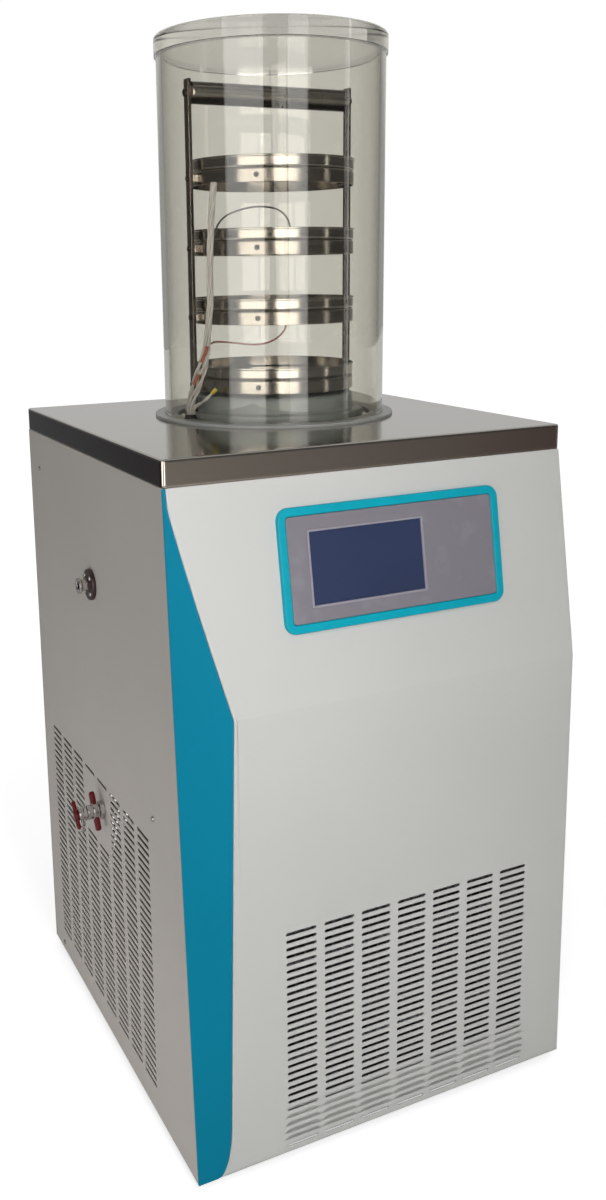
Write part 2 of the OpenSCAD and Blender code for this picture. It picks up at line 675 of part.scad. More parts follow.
// Angle cock: outlet barb points down, stem points away from the cabinet
barb_l = 20;
barb_in = 5;               // from the end of the cock to the middle of the barb
module air_cock() color([0.74, 0.74, 0.72]) difference() {
    union() {
        rod_x([-side_x - air_x, drain_y, drain_z], cock_r, air_cock_l);
        translate([-side_x - hex_t - cock_l - 5, drain_y, drain_z]) rotate([0, 90, 0])
            cylinder(r = 10.5, h = 5, $fn = 6);
        translate([-side_x - air_x + barb_in, drain_y, drain_z - cock_r - barb_l + 2]) rotate_extrude($fn = 32)
            polygon([[0, 0], [3, 0], [4.2, 4], [3.4, 4], [4.6, 9], [3.6, 9], [3.6, barb_l + 2], [0, barb_l + 2]]);
    }
    rod_x([-side_x - air_x + 4, drain_y, drain_z], bulkhead_bore, 60);
    rod_x([-side_x - air_x - 1, drain_y, drain_z], stem_r + run_gap, 6);
    translate([-side_x - air_x + barb_in, drain_y, drain_z - 40]) cylinder(r = 2, h = 40, $fn = 32);
}
module air_handle() color([0.62, 0.05, 0.08]) {
    rod_x([-side_x - air_x - fit - 1, drain_y, drain_z], stem_r, 4.5);
    translate([-side_x - air_x - fit, drain_y, drain_z]) rotate([0, -90, 0])
        rotate([0, 0, 90 + air_tilt]) wing_bar(air_handle_l, 7, handle_t);
}
drain_stub = 6;
function hose_z(t) = lerp(foam_under, drain_z, t);
hose_route = [[jar_x, jar_y, foam_under - drain_stub - fit],
    [jar_x, jar_y, foam_under - 20], [jar_x, jar_y, foam_under - 34],
    [-20, 20, hose_z(0.39)], [-110, 0, hose_z(0.69)], [-side_x + 85, drain_y, hose_z(0.96)],
    [-side_x + 45, drain_y, drain_z], [-side_x + 30, drain_y, drain_z],
    [-side_x + bulkhead_in + fit, drain_y, drain_z]];
module drain_hose() color([0.75, 0.76, 0.72]) swept_tube(spline(hose_route, 4), 6);

// ---- Cold trap ----

module cold_trap() color([0.74, 0.74, 0.73]) translate([jar_x, jar_y, 0]) difference() {
    union() {
        translate([0, 0, trap_floor_z]) cylinder(r = trap_or, h = trap_depth);
        translate([0, 0, plate_z]) cylinder(r = trap_flange_r, h = trap_flange_t);
        translate([0, 0, trap_floor_z - foam_t - drain_stub]) cylinder(r = 6, h = foam_t + drain_stub + 1);
    }
    translate([0, 0, trap_floor_z + trap_wall]) cylinder(r = trap_ir, h = trap_depth + 10);
    translate([0, 0, trap_floor_z - foam_t - 10]) cylinder(r = 4, h = foam_t + 40);
    rod_x([-trap_or - 5, port_y - jar_y, port_z], pipe_r + 0.1, trap_or);
}
module trap_coil() color([0.72, 0.45, 0.3]) translate([jar_x, jar_y, 0]) {
    swept_tube([for (i = [0 : coil_turns * coil_steps]) let (a = 360 * i / coil_steps)
        [coil_r * cos(a), coil_r * sin(a), coil_bottom_z + coil_pitch * a / 360]], coil_d / 2);
}
module trap_insulation() color([0.9, 0.87, 0.7]) translate([jar_x, jar_y, 0]) difference() {
    translate([0, 0, trap_floor_z - foam_t]) cylinder(r = foam_or, h = plate_under - foam_top_gap - trap_floor_z + foam_t);
    translate([0, 0, trap_floor_z - fit]) cylinder(r = foam_ir, h = trap_depth);
    translate([0, 0, trap_floor_z - foam_t - 1]) cylinder(r = 6 + fit, h = foam_t + 2);
    rod_x([-foam_or - 5, port_y - jar_y, port_z], pipe_r + fit, foam_or);
}
// Sealing ring with a shallow groove that the jar stands in
module jar_gasket() color([0.55, 0.56, 0.56]) translate([jar_x, jar_y, plate_z]) difference() {
    cylinder(r = gasket_or, h = gasket_t, $fn = 96);
    translate([0, 0, -1]) cylinder(r = gasket_ir, h = gasket_t + 2, $fn = 96);
    translate([0, 0, gasket_t - 1]) difference() {
        cylinder(r = jar_r + 0.5, h = 2, $fn = 96);
        translate([0, 0, -1]) cylinder(r = jar_ir - 0.5, h = 4, $fn = 96);
    }
    translate([gland_pos[0] - jar_x, gland_pos[1] - jar_y, -1]) cylinder(r = gland_r + fit, h = gasket_t + 2);
}
// Grey two-step collar that carries the rack over the trap's mouth
module trap_collar() color([0.55, 0.56, 0.56]) translate([jar_x, jar_y, collar_base_z]) rotate_extrude($fn = 96)
    polygon([[collar_hole_d / 2, 0], [collar_r - 1.5, 0], [collar_r, 1.5], [collar_r, collar_step_z - 3],
        [collar_r - 0.5, collar_step_z - 0.8], [collar_r - 1.5, collar_step_z], [collar_top_r + 4, collar_step_z],
        [collar_top_r + 1.2, collar_step_z + 1.2], [collar_top_r, collar_step_z + 4],
        [collar_top_r - 1, collar_h - 8], [collar_top_r - 4, collar_h - 2.5], [collar_top_r - 9, collar_h],
        [collar_hole_d / 2 + 2, collar_h], [collar_hole_d / 2, collar_h - 2]]);

// ---- Bell jar ----

module bell_jar_tube() color([0.85, 0.9, 0.9, 0.35]) translate([jar_x, jar_y, jar_base_z]) difference() {
    cylinder(r = jar_r, h = jar_top_z - jar_lid_t - jar_base_z, $fn = 128);
    translate([0, 0, -1]) cylinder(r = jar_ir, h = jar_h, $fn = 128);
}
module bell_jar_lid() color([0.85, 0.9, 0.9, 0.35]) translate([jar_x, jar_y, jar_top_z - jar_lid_t])
    rotate_extrude($fn = 128) polygon([[0, 0], [jar_r + jar_lid_lip - 1, 0], [jar_r + jar_lid_lip, 1],
        [jar_r + jar_lid_lip, jar_lid_t - 2], [jar_r + jar_lid_lip - 2, jar_lid_t], [0, jar_lid_t]]);

// ---- Rack ----

function level_z(n) = rack_z + (levels - n) * level_pitch;
function shelf_under(n) = level_z(n) + shelf_h - 3;
module rack_post(s) color([0.5, 0.49, 0.47])
    translate([jar_x + s * (post_in_x + post_t / 2), jar_y, post_foot_z]) difference() {
        translate([-post_t / 2, -post_w / 2, 0]) cube([post_t, post_w, post_top_z - post_foot_z]);
        rod_x([-10, 0, plate_z + crossbar_z - post_foot_z], 3.1, 20);
        for (n = [1 : levels]) rod_x([-10, 0, level_z(n) + shelf_h / 2 - post_foot_z], 2.1, 20);
    }
module rack_post_left() rack_post(-1);
module rack_post_right() rack_post(1);
module rack_crossbar() color([0.45, 0.44, 0.42]) difference() {
    rod_x([jar_x - post_in_x, jar_y, plate_z + crossbar_z], crossbar_d / 2, 2 * post_in_x);
    for (s = [0, 1])
        rod_x([jar_x - post_in_x - 1 + s * (2 * post_in_x - 13), jar_y, plate_z + crossbar_z], 3.1, 15);
}
// Heated shelf: plate with a turned-down skirt, side lugs and a centre boss
module shelf(n) color([0.66, 0.64, 0.6]) translate([jar_x, jar_y, level_z(n)]) difference() {
    union() {
        rotate_extrude($fn = 96) polygon([[0, shelf_h - 3], [shelf_d / 2 - tray_wall, shelf_h - 3],
            [shelf_d / 2 - tray_wall, 0], [shelf_d / 2, 0], [shelf_d / 2, shelf_h - 1.8],
            [shelf_d / 2 - 0.6, shelf_h - 0.5], [shelf_d / 2 - 2, shelf_h], [0, shelf_h]]);
        for (s = [-1, 1])
            translate([s * (post_in_x / 2 + shelf_d / 4 - 1), 0, shelf_h / 2])
                cube([post_in_x - shelf_d / 2 + 2, post_w, 10], center = true);
    }
    for (s = [-1, 1]) rod_x([s * post_in_x - 12, 0, shelf_h / 2], 2.1, 24);
    rotate([0, 0, probe_azimuth]) rod_x([shelf_d / 2 - 6, 0, shelf_h / 2], 2.1, 12);
}
module shelf_1() shelf(1);
module shelf_2() shelf(2);
module shelf_3() shelf(3);
module shelf_4() shelf(4);
// Sample tray: pressed pan with a rolled rim
module tray(n) color([0.72, 0.7, 0.67]) translate([jar_x, jar_y, level_z(n) + shelf_h])
    rotate_extrude($fn = 96) polygon([[0, 0], [tray_d / 2 - 4, 0], [tray_d / 2 - 1.8, 0.8],
        [tray_d / 2 - 0.9, 3], [tray_d / 2 - 0.9, tray_h - 2.6], [tray_d / 2, tray_h - 2], [tray_d / 2, tray_h - 0.6],
        [tray_d / 2 - 0.6, tray_h], [tray_d / 2 - 2, tray_h], [tray_d / 2 - 0.9 - tray_wall, tray_h - 1.2],
        [tray_d / 2 - 0.9 - tray_wall, 3.4], [tray_d / 2 - 4.4, tray_wall], [0, tray_wall]]);
module tray_1() tray(1);
module tray_2() tray(2);
module tray_3() tray(3);
module tray_4() tray(4);
// Screws of the rack: through the posts, and one in the skirt of each shelf
module rack_screws() color([0.35, 0.34, 0.33]) {
    for (s = [-1, 1]) {
        translate([jar_x + s * (post_in_x + post_t), jar_y, plate_z + crossbar_z]) rotate([0, s * 90, 0])
            dome_screw(6, 3, 3, post_t + 8);
        for (n = [1 : levels])
            translate([jar_x + s * (post_in_x + post_t), jar_y, level_z(n) + shelf_h / 2])
                rotate([0, s * 90, 0]) dome_screw(4, 2.4, 2, post_t + 5);
    }
    for (n = [1 : levels]) translate([jar_x, jar_y, level_z(n) + shelf_h / 2]) rotate([0, 0, probe_azimuth])
        translate([shelf_d / 2, 0, 0]) rotate([0, 90, 0]) dome_screw(3.5, 3, 2, 4);
}

// ---- Sensor wiring inside the jar ----

// Routes are drawn about the jar's axis for a tray of radius drawn_r, room outside it of
// drawn_room and levels drawn_pitch apart; seat() carries them to the chosen sizes
drawn_r = 112;
drawn_room = 23.494;
drawn_pitch = 90;
trunk_r = 0.19 * (gland_reach - tray_d / 2);
pigtail_r = 2.2;
lead_r = 1.2;
function seat_r(r) = r < drawn_r ? r * tray_d / 2 / drawn_r
    : lerp(tray_d / 2, gland_reach, (r - drawn_r) / drawn_room);
function seat(p, z) = let (r = norm(p), k = seat_r(r) / r) [jar_x + p[0] * k, jar_y + p[1] * k, z];
// Points [x, y, height over the lowest shelf] of the trunk and of its pigtail
trunk_marks = [[-107, -49, 271], [-110, -49, 247], [-112, -48, 213], [-114, -47, 167], [-114, -46, 122],
    [-116, -43, 87], [-119, -39, 52], [-126, -33, 22], [-132, -24, -5]];
pigtail_marks = [[-130, -31, -17], [-125, -37, -12], [-119, -44, -5], [-115, -47, 0]];
function over_rack(marks) = [for (m = marks)
    seat([m[0], m[1]], rack_z + m[2] * (m[2] > 0 ? level_pitch / drawn_pitch : 1))];
trunk_route = concat(over_rack(trunk_marks), [for (h = [19, gland_rise + fit]) [gland_pos[0], gland_pos[1], plate_z + h]]);
pigtail_route = over_rack(pigtail_marks);
// The probe lies in the second tray; its lead is drawn from the rim of that tray
rim_2 = level_z(2) + shelf_h + tray_h;
probe_marks = [[-106, -47, -9], [-101, -46, 5], [-87, -45, 17], [-65, -53, 25], [-45, -61, 27], [-27, -69, 23],
    [-17, -75, 13], [-13, -77, 1]];
probe_route = concat([for (m = probe_marks) seat([m[0], m[1]], rim_2 + m[2])],
    [for (h = [9, fit]) seat([-12, -77], level_z(2) + shelf_h + tray_wall + h)]);
// The other lead runs up to the heater under the third shelf
lead_marks = [[-112, -43, -24], [-103, -40, -22], [-75, -43, -25], [-55, -53, -27], [-41, -61, -25], [-29, -67, -19],
    [-19, -70, -9], [-16, -70, 1]];
lead_route = concat([for (m = lead_marks) seat([m[0], m[1]], level_z(3) + m[2])],
    [for (h = [7, fit]) seat([-16, -70], shelf_under(3) - h)]);
module harness_trunk() color([0.9, 0.89, 0.87]) {
    swept_tube(spline(trunk_route, 2), trunk_r);
    swept_tube(spline(pigtail_route, 2), pigtail_r);
}
module probe_lead() color([0.35, 0.35, 0.34]) swept_tube(spline(probe_route, 2), lead_r);
module shelf_lead() color([0.75, 0.45, 0.42]) swept_tube(spline(lead_route, 2), lead_r);
// Small connector on the end of the pigtail, along its last stretch
plug_l = 9;
plug_dir = unit(pigtail_route[3] - pigtail_route[2]);
module harness_plug() color([0.9, 0.85, 0.3]) translate(pigtail_route[3])
    rotate([0, acos(plug_dir[2]), atan2(plug_dir[1], plug_dir[0])]) translate([0, 0, fit]) {
        cylinder(r = 2.6, h = 3, $fn = 24);
        translate([-2.5, -1.8, 3]) cube([5, 3.6, plug_l - 3]);
    }
// Rubber gland that seals the wiring where it passes the top plate
module harness_grommet() color([0.3, 0.3, 0.31]) translate([gland_pos[0], gland_pos[1], plate_under])
    rotate_extrude($fn = 48) polygon([[0, -gland_drop], [gland_r, -gland_drop], [gland_r, -0.1],
        [gland_waist_r, -0.1], [gland_waist_r, sheet_t + 0.1], [gland_r, sheet_t + 0.1],
        [gland_r, sheet_t + 3], [gland_r * 0.7, sheet_t + gland_rise], [0, sheet_t + gland_rise]]);

// ---- Refrigeration ----

module compressor() color([0.1, 0.1, 0.11]) translate([comp_pos[0], comp_pos[1], pan_floor + comp_foot_h]) {
    r = comp_d / 2;
    rotate_extrude($fn = 96) polygon([[0, 0], [r * 0.82, 0], [r * 0.95, 8], [r, 22], [r, comp_h * 0.52],
        [r + 3, comp_h * 0.52], [r + 3, comp_h * 0.56], [r, comp_h * 0.56], [r, comp_h - 45],
        [r * 0.93, comp_h - 22], [r * 0.7, comp_h - 6], [r * 0.35, comp_h], [0, comp_h]]);
    for (a = [45 : 90 : 315]) rotate([0, 0, a]) translate([r * 0.7, -16, 0]) difference() {
        cube([r * 0.55, 32, 4]);
        translate([r * 0.42, 16, -1]) cylinder(r = 6, h = 8);
    }
    translate([r - 4, 30, comp_h * 0.35]) cube([26, 44, 56]);
    for (a = [45 : 90 : 315]) rotate([0, 0, a]) translate([r * comp_foot_out, 0, -comp_foot_h])
        rotate_extrude($fn = 32) polygon([[0, 0], [comp_foot_r, 0], [comp_foot_r, comp_foot_h], [5.9, comp_foot_h],
            [5.9, comp_foot_h + 7], [0, comp_foot_h + 7]]);
}
// Condenser: fins threaded on tubes between two end plates
fin_count = 25;
module condenser() color([0.7, 0.7, 0.7]) {
    x0 = cond_side;
    for (i = [1 : fin_count]) translate([x0 + i * cond_w / (fin_count + 1) - 0.6, cond_front, cond_z])
        cube([1.2, cond_t, cond_h]);
    for (s = [0, 1]) translate([x0 + s * (cond_w - 2), cond_front, pan_floor]) cube([2, cond_t, cond_h + cond_z - pan_floor]);
    for (k = [0 : 5], j = [0, 1])
        rod_x([x0 + 1, cond_front + cond_t * (0.27 + 0.46 * j), cond_z + cond_h * (k + 0.5 + 0.25 * j) / 6.3], 4.5, cond_w - 2);
}
// Shroud: plate with a round throat that carries the fan
module fan_shroud() color([0.3, 0.3, 0.31]) difference() {
    union() {
        translate([cond_x - cond_w / 2 + 4, cond_rear + fit, cond_z]) cube([cond_w - 8, 2, cond_h]);
        translate([cond_x, cond_rear + fit, fan_z]) rotate([-90, 0, 0]) cylinder(r = fan_d / 2 + 8, h = shroud_t);
        for (s = [0, 1]) translate([cond_x - cond_w / 2 + 4 + s * (cond_w - 10), cond_rear + fit, pan_floor])
            cube([2, shroud_t, cond_h + cond_z - pan_floor]);
    }
    translate([cond_x, cond_rear - 1, fan_z]) rotate([-90, 0, 0]) cylinder(r = fan_d / 2 + 5, h = shroud_t + 10);
}
module fan_motor() color([0.25, 0.25, 0.26]) difference() {
    union() {
        rod_y([cond_x, motor_y, fan_z], 38, 52);
        rod_y([cond_x, motor_y - 4, fan_z], 12, 5);
        for (a = [0 : 120 : 240]) translate([cond_x, cond_rear + fit + shroud_t, fan_z]) rotate([0, a, 0]) {
            translate([-7, 0, 30]) cube([14, 3, fan_d / 2 - 22.5]);
            translate([-7, 0, 30]) cube([14, motor_y - cond_rear - shroud_t + 6, 6]);
        }
    }
    rod_y([cond_x, motor_y - 6, fan_z], shaft_r + run_gap, 40);
}
blade_l = fan_d / 2 - hub_r;
module fan_rotor() color([0.2, 0.22, 0.25]) {
    rod_y([cond_x, fan_y - 10, fan_z], hub_r, 20);
    rod_y([cond_x, fan_y, fan_z], shaft_r, motor_y + 30 - fan_y);
    for (i = [0 : fan_blades - 1]) translate([cond_x, fan_y, fan_z]) rotate([0, 360 * i / fan_blades, 0])
        translate([0, 0, hub_r - 3]) rotate([0, 0, 24]) linear_extrude(blade_l)
            polygon([[-30, -1.4], [-15, -2.4], [0, -2.6], [15, -1.6], [30, 0.4], [30, 2.2], [15, 0.6],
                [0, -0.4], [-15, -0.2], [-30, 0.8]]);
}
// Copper lines: hot gas to the condenser, liquid through the receiver, suction from the coil
line_r = 5;
line_in_z = cond_z + cond_h - 28;
comp_top_z = pan_floor + comp_foot_h + comp_h;
function upright(x, y, z, dir) = [for (d = [fit, 10, 20]) [x, y, z + dir * d]];
hot_route = [each upright(comp_pos[0] - 18, comp_pos[1] - 6, comp_top_z, 1),
    [comp_pos[0] - 26, comp_pos[1] - 60, comp_top_z + 64], [cond_side - 20, -60, comp_top_z + 86],
    [cond_side - 30, cond_front + 102, cond_z + cond_h + 12], [cond_side - 29, cond_front + 32, line_in_z + 10],
    [cond_side - 19, cond_front + cond_t / 2, line_in_z], [cond_side - 9, cond_front + cond_t / 2, line_in_z],
    [cond_side - fit, cond_front + cond_t / 2, line_in_z]];
suction_route = [each upright(comp_pos[0] + 18, comp_pos[1] + 6, comp_top_z, 1),
    [-100, comp_pos[1] - 10, comp_top_z + 52], [-75, 85, lerp(comp_top_z, foam_under, 0.55)], [-60, 70, foam_under - 30], [-60, 70, foam_under - 15], [-60, 70, foam_under - fit]];
module receiver() translate([receiver_pos[0], receiver_pos[1], pan_floor]) rotate_extrude()
    polygon([[0, 0], [receiver_r * 0.8, 0], [receiver_r * 0.8, 6], [receiver_r, 14], [receiver_r, receiver_h - 14],
        [receiver_r * 0.8, receiver_h - 2], [receiver_r * 0.3, receiver_h], [0, receiver_h]]);
function line_z(t) = lerp(pan_floor + receiver_h, foam_under, t);
liquid_route = [[receiver_pos[0], receiver_pos[1], pan_floor + receiver_h - 1],
    [receiver_pos[0], receiver_pos[1], line_z(0.26)], [165, 70, line_z(0.56)], [120, 70, line_z(0.81)],
    [100, 60, foam_under - 30],
    [100, 60, foam_under - 15], [100, 60, foam_under - fit]];
module refrigerant_lines() color([0.72, 0.45, 0.3]) {
    receiver();
    for (route = [liquid_route, hot_route, suction_route]) swept_tube(spline(route, 3), line_r);
}

// ---- Electrics ----

module electric_plate() color([0.7, 0.71, 0.72]) {
    x = frame_x - post_leg - 2;
    translate([x, frame_front, electric_z]) cube([2, frame_rear - frame_front, electric_h]);
    translate([x - 40, -180, electric_z + 20]) cube([40, 120, 110]);
    translate([x - 12, -20, electric_z + 15]) cube([12, 170, 125]);
    translate([x - 46, 170, electric_z + 30]) cube([46, 60, 90]);
}
// Mains inlet with a well for the rocker
module power_inlet() color([0.09, 0.09, 0.1]) translate([inlet_x, rear_y, inlet_z]) difference() {
    union() {
        along_y_out(2.5) round_rect(58, 70, 4);
        translate([-24.5, -32, -30.5]) cube([49, 32, 61]);
    }
    translate([-14, -20, -26]) cube([28, 30, 24]);
    translate([-rocker_w / 2 - fit, -14, 8 - fit]) cube([rocker_w + 2 * fit, 30, rocker_h + 2 * fit]);
    rod_x([-rocker_w / 2 - 4, -rocker_pivot_in, 8 + rocker_h / 2], 1.5 + run_gap, rocker_w + 8);
}
module along_y_out(t) { rotate([-90, 0, 0]) linear_extrude(t) children(); }
rocker_w = 18;
rocker_h = 16;
rocker_pivot_in = 4;
rocker_tilt = 9;
module power_switch() color([0.5, 0.06, 0.06])
    translate([inlet_x, rear_y - rocker_pivot_in, inlet_z + 8 + rocker_h / 2]) {
        rod_x([-rocker_w / 2 - 3, 0, 0], 1.5, rocker_w + 6);
        translate([-rocker_w / 2, 0, 0]) rotate([90, 0, 90]) linear_extrude(rocker_w) rotate(-rocker_tilt)
            polygon([[-4, -4], [5, -7], [7, -7], [5.6, 0], [7, 7], [5, 7], [-4, 4]]);
    }

base_pan();
levelling_feet();
post_front_left();
post_front_right();
post_rear_left();
post_rear_right();
left_side_panel();
right_side_panel();
rear_panel();
front_fascia();
left_trim();
top_plate();
console_bezel();
control_overlay();
screen_frame();
touch_screen();
display_housing();
panel_screws();
vacuum_port();
vacuum_port_screws();
vacuum_duct();
drain_bulkhead();
drain_cock();
drain_handle();
air_cock();
air_handle();
drain_hose();
cold_trap();
trap_coil();
trap_insulation();
jar_gasket();
trap_collar();
bell_jar_tube();
bell_jar_lid();
rack_post_left();
rack_post_right();
rack_crossbar();
shelf_1();
shelf_2();
shelf_3();
shelf_4();
tray_1();
tray_2();
tray_3();
tray_4();
rack_screws();
harness_trunk();
probe_lead();
shelf_lead();
harness_plug();
harness_grommet();
compressor();
condenser();
fan_shroud();
fan_motor();
fan_rotor();
refrigerant_lines();
electric_plate();
power_inlet();
power_switch();
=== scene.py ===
"""Dressed model of an upright laboratory freeze dryer, built round its packed CAD frame.

+Z is up, X runs to the right along the front and Y to the back.  Surfaces are
worked out in millimetres, as numpy arrays, and become metres when they are put
into meshes; the camera, lamps and floor are in metres.  Each sub-assembly is a
class: its fields hold sizes, its methods build surfaces and dress them.
"""
import json
import logging
import math
from collections.abc import Callable, Sequence
from dataclasses import dataclass, field, replace
from enum import Enum
from functools import reduce
from operator import add

import bpy
import numpy as np
from mathutils import Matrix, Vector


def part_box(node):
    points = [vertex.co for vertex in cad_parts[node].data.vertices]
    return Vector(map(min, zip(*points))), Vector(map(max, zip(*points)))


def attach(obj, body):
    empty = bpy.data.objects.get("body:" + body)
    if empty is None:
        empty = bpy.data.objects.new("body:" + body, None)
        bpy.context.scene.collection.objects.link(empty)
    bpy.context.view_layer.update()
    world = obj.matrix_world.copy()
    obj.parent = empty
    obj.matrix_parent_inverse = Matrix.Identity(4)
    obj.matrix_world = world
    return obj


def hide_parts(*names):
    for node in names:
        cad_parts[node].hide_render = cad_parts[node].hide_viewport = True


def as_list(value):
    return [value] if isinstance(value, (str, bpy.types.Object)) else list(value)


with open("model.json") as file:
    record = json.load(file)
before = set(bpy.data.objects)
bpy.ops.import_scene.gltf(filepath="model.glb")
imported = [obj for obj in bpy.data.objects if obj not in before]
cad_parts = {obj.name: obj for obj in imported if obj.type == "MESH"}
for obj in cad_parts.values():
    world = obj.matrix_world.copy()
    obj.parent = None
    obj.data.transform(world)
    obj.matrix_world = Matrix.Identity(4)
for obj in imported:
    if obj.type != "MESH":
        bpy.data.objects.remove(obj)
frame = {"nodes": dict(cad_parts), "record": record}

Array = np.ndarray
Number = float | Array
Rows = Sequence[tuple[float, ...]]
Pair = tuple[float, float]
Triple = tuple[float, float, float]
Socket = bpy.types.NodeSocket
Feed = Socket | float | tuple

log = logging.getLogger("freeze_dryer")
MM = 0.001  # metres in a millimetre
HOLD = 1.5  # distance of the extra points that keep a flat flat beside a rounded corner
FAR = 2000.0  # u of a panel's front edge, beyond any real place on it
NEAR = 0.02  # millimetres on the panel for each unit of u close to FAR
EAST, WEST, UP = (1, 0, 0), (-1, 0, 0), (0, 0, 1)
COS_30 = math.cos(math.radians(30))


class Body(str, Enum):
    """Bodies of the frame that a piece may ride on."""

    CABINET = "cabinet"
    DRAIN_LEVER = "drain_lever"
    AIR_LEVER = "air_lever"


# ---------------------------------------------------------------- surfaces


def unit(v: Array) -> Array:
    """Vectors divided by their lengths."""
    return v / np.maximum(np.linalg.norm(v, axis=-1, keepdims=True), 1e-12)


def points(x: Number, y: Number, z: Number) -> Array:
    """Points (..., 3) of three coordinates, each an array or one number for all."""
    return np.stack(np.broadcast_arrays(x, y, z), -1)


def polar(radius: Number, angle: Number, z: Number) -> Array:
    """Points (r cos a, r sin a, z)."""
    return points(radius * np.cos(angle), radius * np.sin(angle), z)


def around(count: int) -> Array:
    """Angles of a full turn in equal steps, from 0."""
    return np.arange(count) * (2 * math.pi / count)


def lengths(path: Array) -> Array:
    """Way along a path from its first point to each of its points."""
    return np.concatenate([[0], np.cumsum(np.linalg.norm(np.diff(path, axis=0), axis=1))])


@dataclass
class Shell:
    """Vertices and faces of one surface.

    Args:
        verts: (n, 3) points.
        quads: (m, 4) corner numbers.
        tris: (k, 3) corner numbers.
        flats: flat faces with many corners, one array each.
    """

    verts: Array
    quads: Array = field(default_factory=lambda: np.empty((0, 4), int))
    tris: Array = field(default_factory=lambda: np.empty((0, 3), int))
    flats: tuple[Array, ...] = ()

    def __add__(self, other: "Shell") -> "Shell":
        """Both surfaces in one, with the second's corner numbers moved up."""
        n = len(self.verts)
        return Shell(
            np.concatenate([self.verts, other.verts]),
            np.concatenate([self.quads, other.quads + n]),
            np.concatenate([self.tris, other.tris + n]),
            self.flats + tuple(f + n for f in other.flats),
        )

    def placed(self, seat: Array) -> "Shell":
        """The surface after the 4 x 4 matrix seat: p becomes R p + t."""
        return replace(self, verts=self.verts @ seat[:3, :3].T + seat[:3, 3])

    def moved(self, by: Array | Triple) -> "Shell":
        """The surface moved by a vector."""
        return replace(self, verts=self.verts + np.asarray(by))

    def copied(self, offsets: Array) -> "Shell":
        """One copy of the surface at each of the (k, 3) offsets."""
        return reduce(add, map(self.moved, offsets))

    def faces(self) -> list[list[int]]:
        """All faces as lists of corner numbers."""
        return self.quads.tolist() + self.tris.tolist() + [f.tolist() for f in self.flats]


def seat_at(origin: Array | Triple, x: Array | Triple, z: Array | Triple) -> Array:
    """Matrix that puts the local origin at origin, and local X and Z along x and z.

    Args:
        origin: where the local origin goes.
        x: direction of local X, made square to z.
        z: direction of local Z; local Y is z cross x.

    Returns:
        A 4 x 4 matrix.
    """
    z = unit(np.asarray(z, float))
    x = unit(np.asarray(x, float) - z * (z @ np.asarray(x, float)))
    m = np.eye(4)
    m[:3] = np.stack([x, np.cross(z, x), z, origin], 1)
    return m


def grid_quads(nu: int, nv: int, wrap_u: bool = False, wrap_v: bool = False) -> Array:
    """Quads of a grid of nu x nv points stored row by row.

    The corners of a face are (i, j), (i+1, j), (i+1, j+1), (i, j+1), so its
    normal is the direction of u crossed with that of v.

    Args:
        nu: number of rows.
        nv: number of points in a row.
        wrap_u: whether the last row joins the first.
        wrap_v: whether the end of each row joins its start.

    Returns:
        Corner numbers, (m, 4).
    """
    i = np.arange(nu if wrap_u else nu - 1)[:, None]
    j = np.arange(nv if wrap_v else nv - 1)[None, :]
    i2, j2 = (i + 1) % nu, (j + 1) % nv
    return np.stack([i * nv + j, i2 * nv + j, i2 * nv + j2, i * nv + j2], -1).reshape(-1, 4)


def fillet(rows: Rows, steps: int, closed: bool = True) -> Array:
    """Rounds the corners of an outline with true arcs.

    At a corner p with unit directions a and b to its neighbours and half angle
    h between them, the arc starts r / tan(h) along a, its centre lies
    r / sin(h) along a + b, and its points turn evenly from one side to the other.
    A point at distance HOLD from each end of an arc keeps the flat beside it flat.

    Args:
        rows: (x, y, radius) of each corner; radius 0 keeps the corner.
        steps: parts of each arc.
        closed: whether the last corner joins the first; if not, both stay sharp.

    Returns:
        The rounded outline, (m, 2), without repeated points.
    """
    table = np.array(rows, float)
    p, r = table[:, :2], table[:, 2]
    a, b = np.roll(p, 1, 0) - p, np.roll(p, -1, 0) - p
    if not closed:
        r[[0, -1]] = 0.0
        a[0], b[-1] = b[0], a[-1]
    a, b = unit(a), unit(b)
    half = np.arccos(np.clip((a * b).sum(1), -1, 1)) / 2
    bent = (half > 1e-4) & (half < math.pi / 2 - 1e-4)
    half, r = np.where(bent, half, math.pi / 4)[:, None], np.where(bent, r, 0.0)[:, None]
    centre = p + unit(a + b) * r / np.sin(half)
    start, end = (p + side * r / np.tan(half) - centre for side in (a, b))
    phi = (math.pi - 2 * half)[:, None]
    s = np.linspace(0, 1, steps + 1)[None, :, None]
    turn = np.sin((1 - s) * phi) * start[:, None] + np.sin(s * phi) * end[:, None]
    arc = centre[:, None] + turn / np.sin(phi)
    room = np.linalg.norm(np.roll(arc[:, 0], -1, 0) - arc[:, -1], axis=1) > 3 * HOLD
    before = arc[:, 0] + a * HOLD * (np.roll(room, 1)[:, None] & (r > 0))
    after = arc[:, -1] + b * HOLD * (room[:, None] & (r > 0))
    out = np.concatenate([before[:, None], arc, after[:, None]], 1).reshape(-1, 2)
    keep = np.linalg.norm(np.roll(out, -1, 0) - out, axis=1) > 1e-4
    keep[-1] |= not closed
    return out[keep]


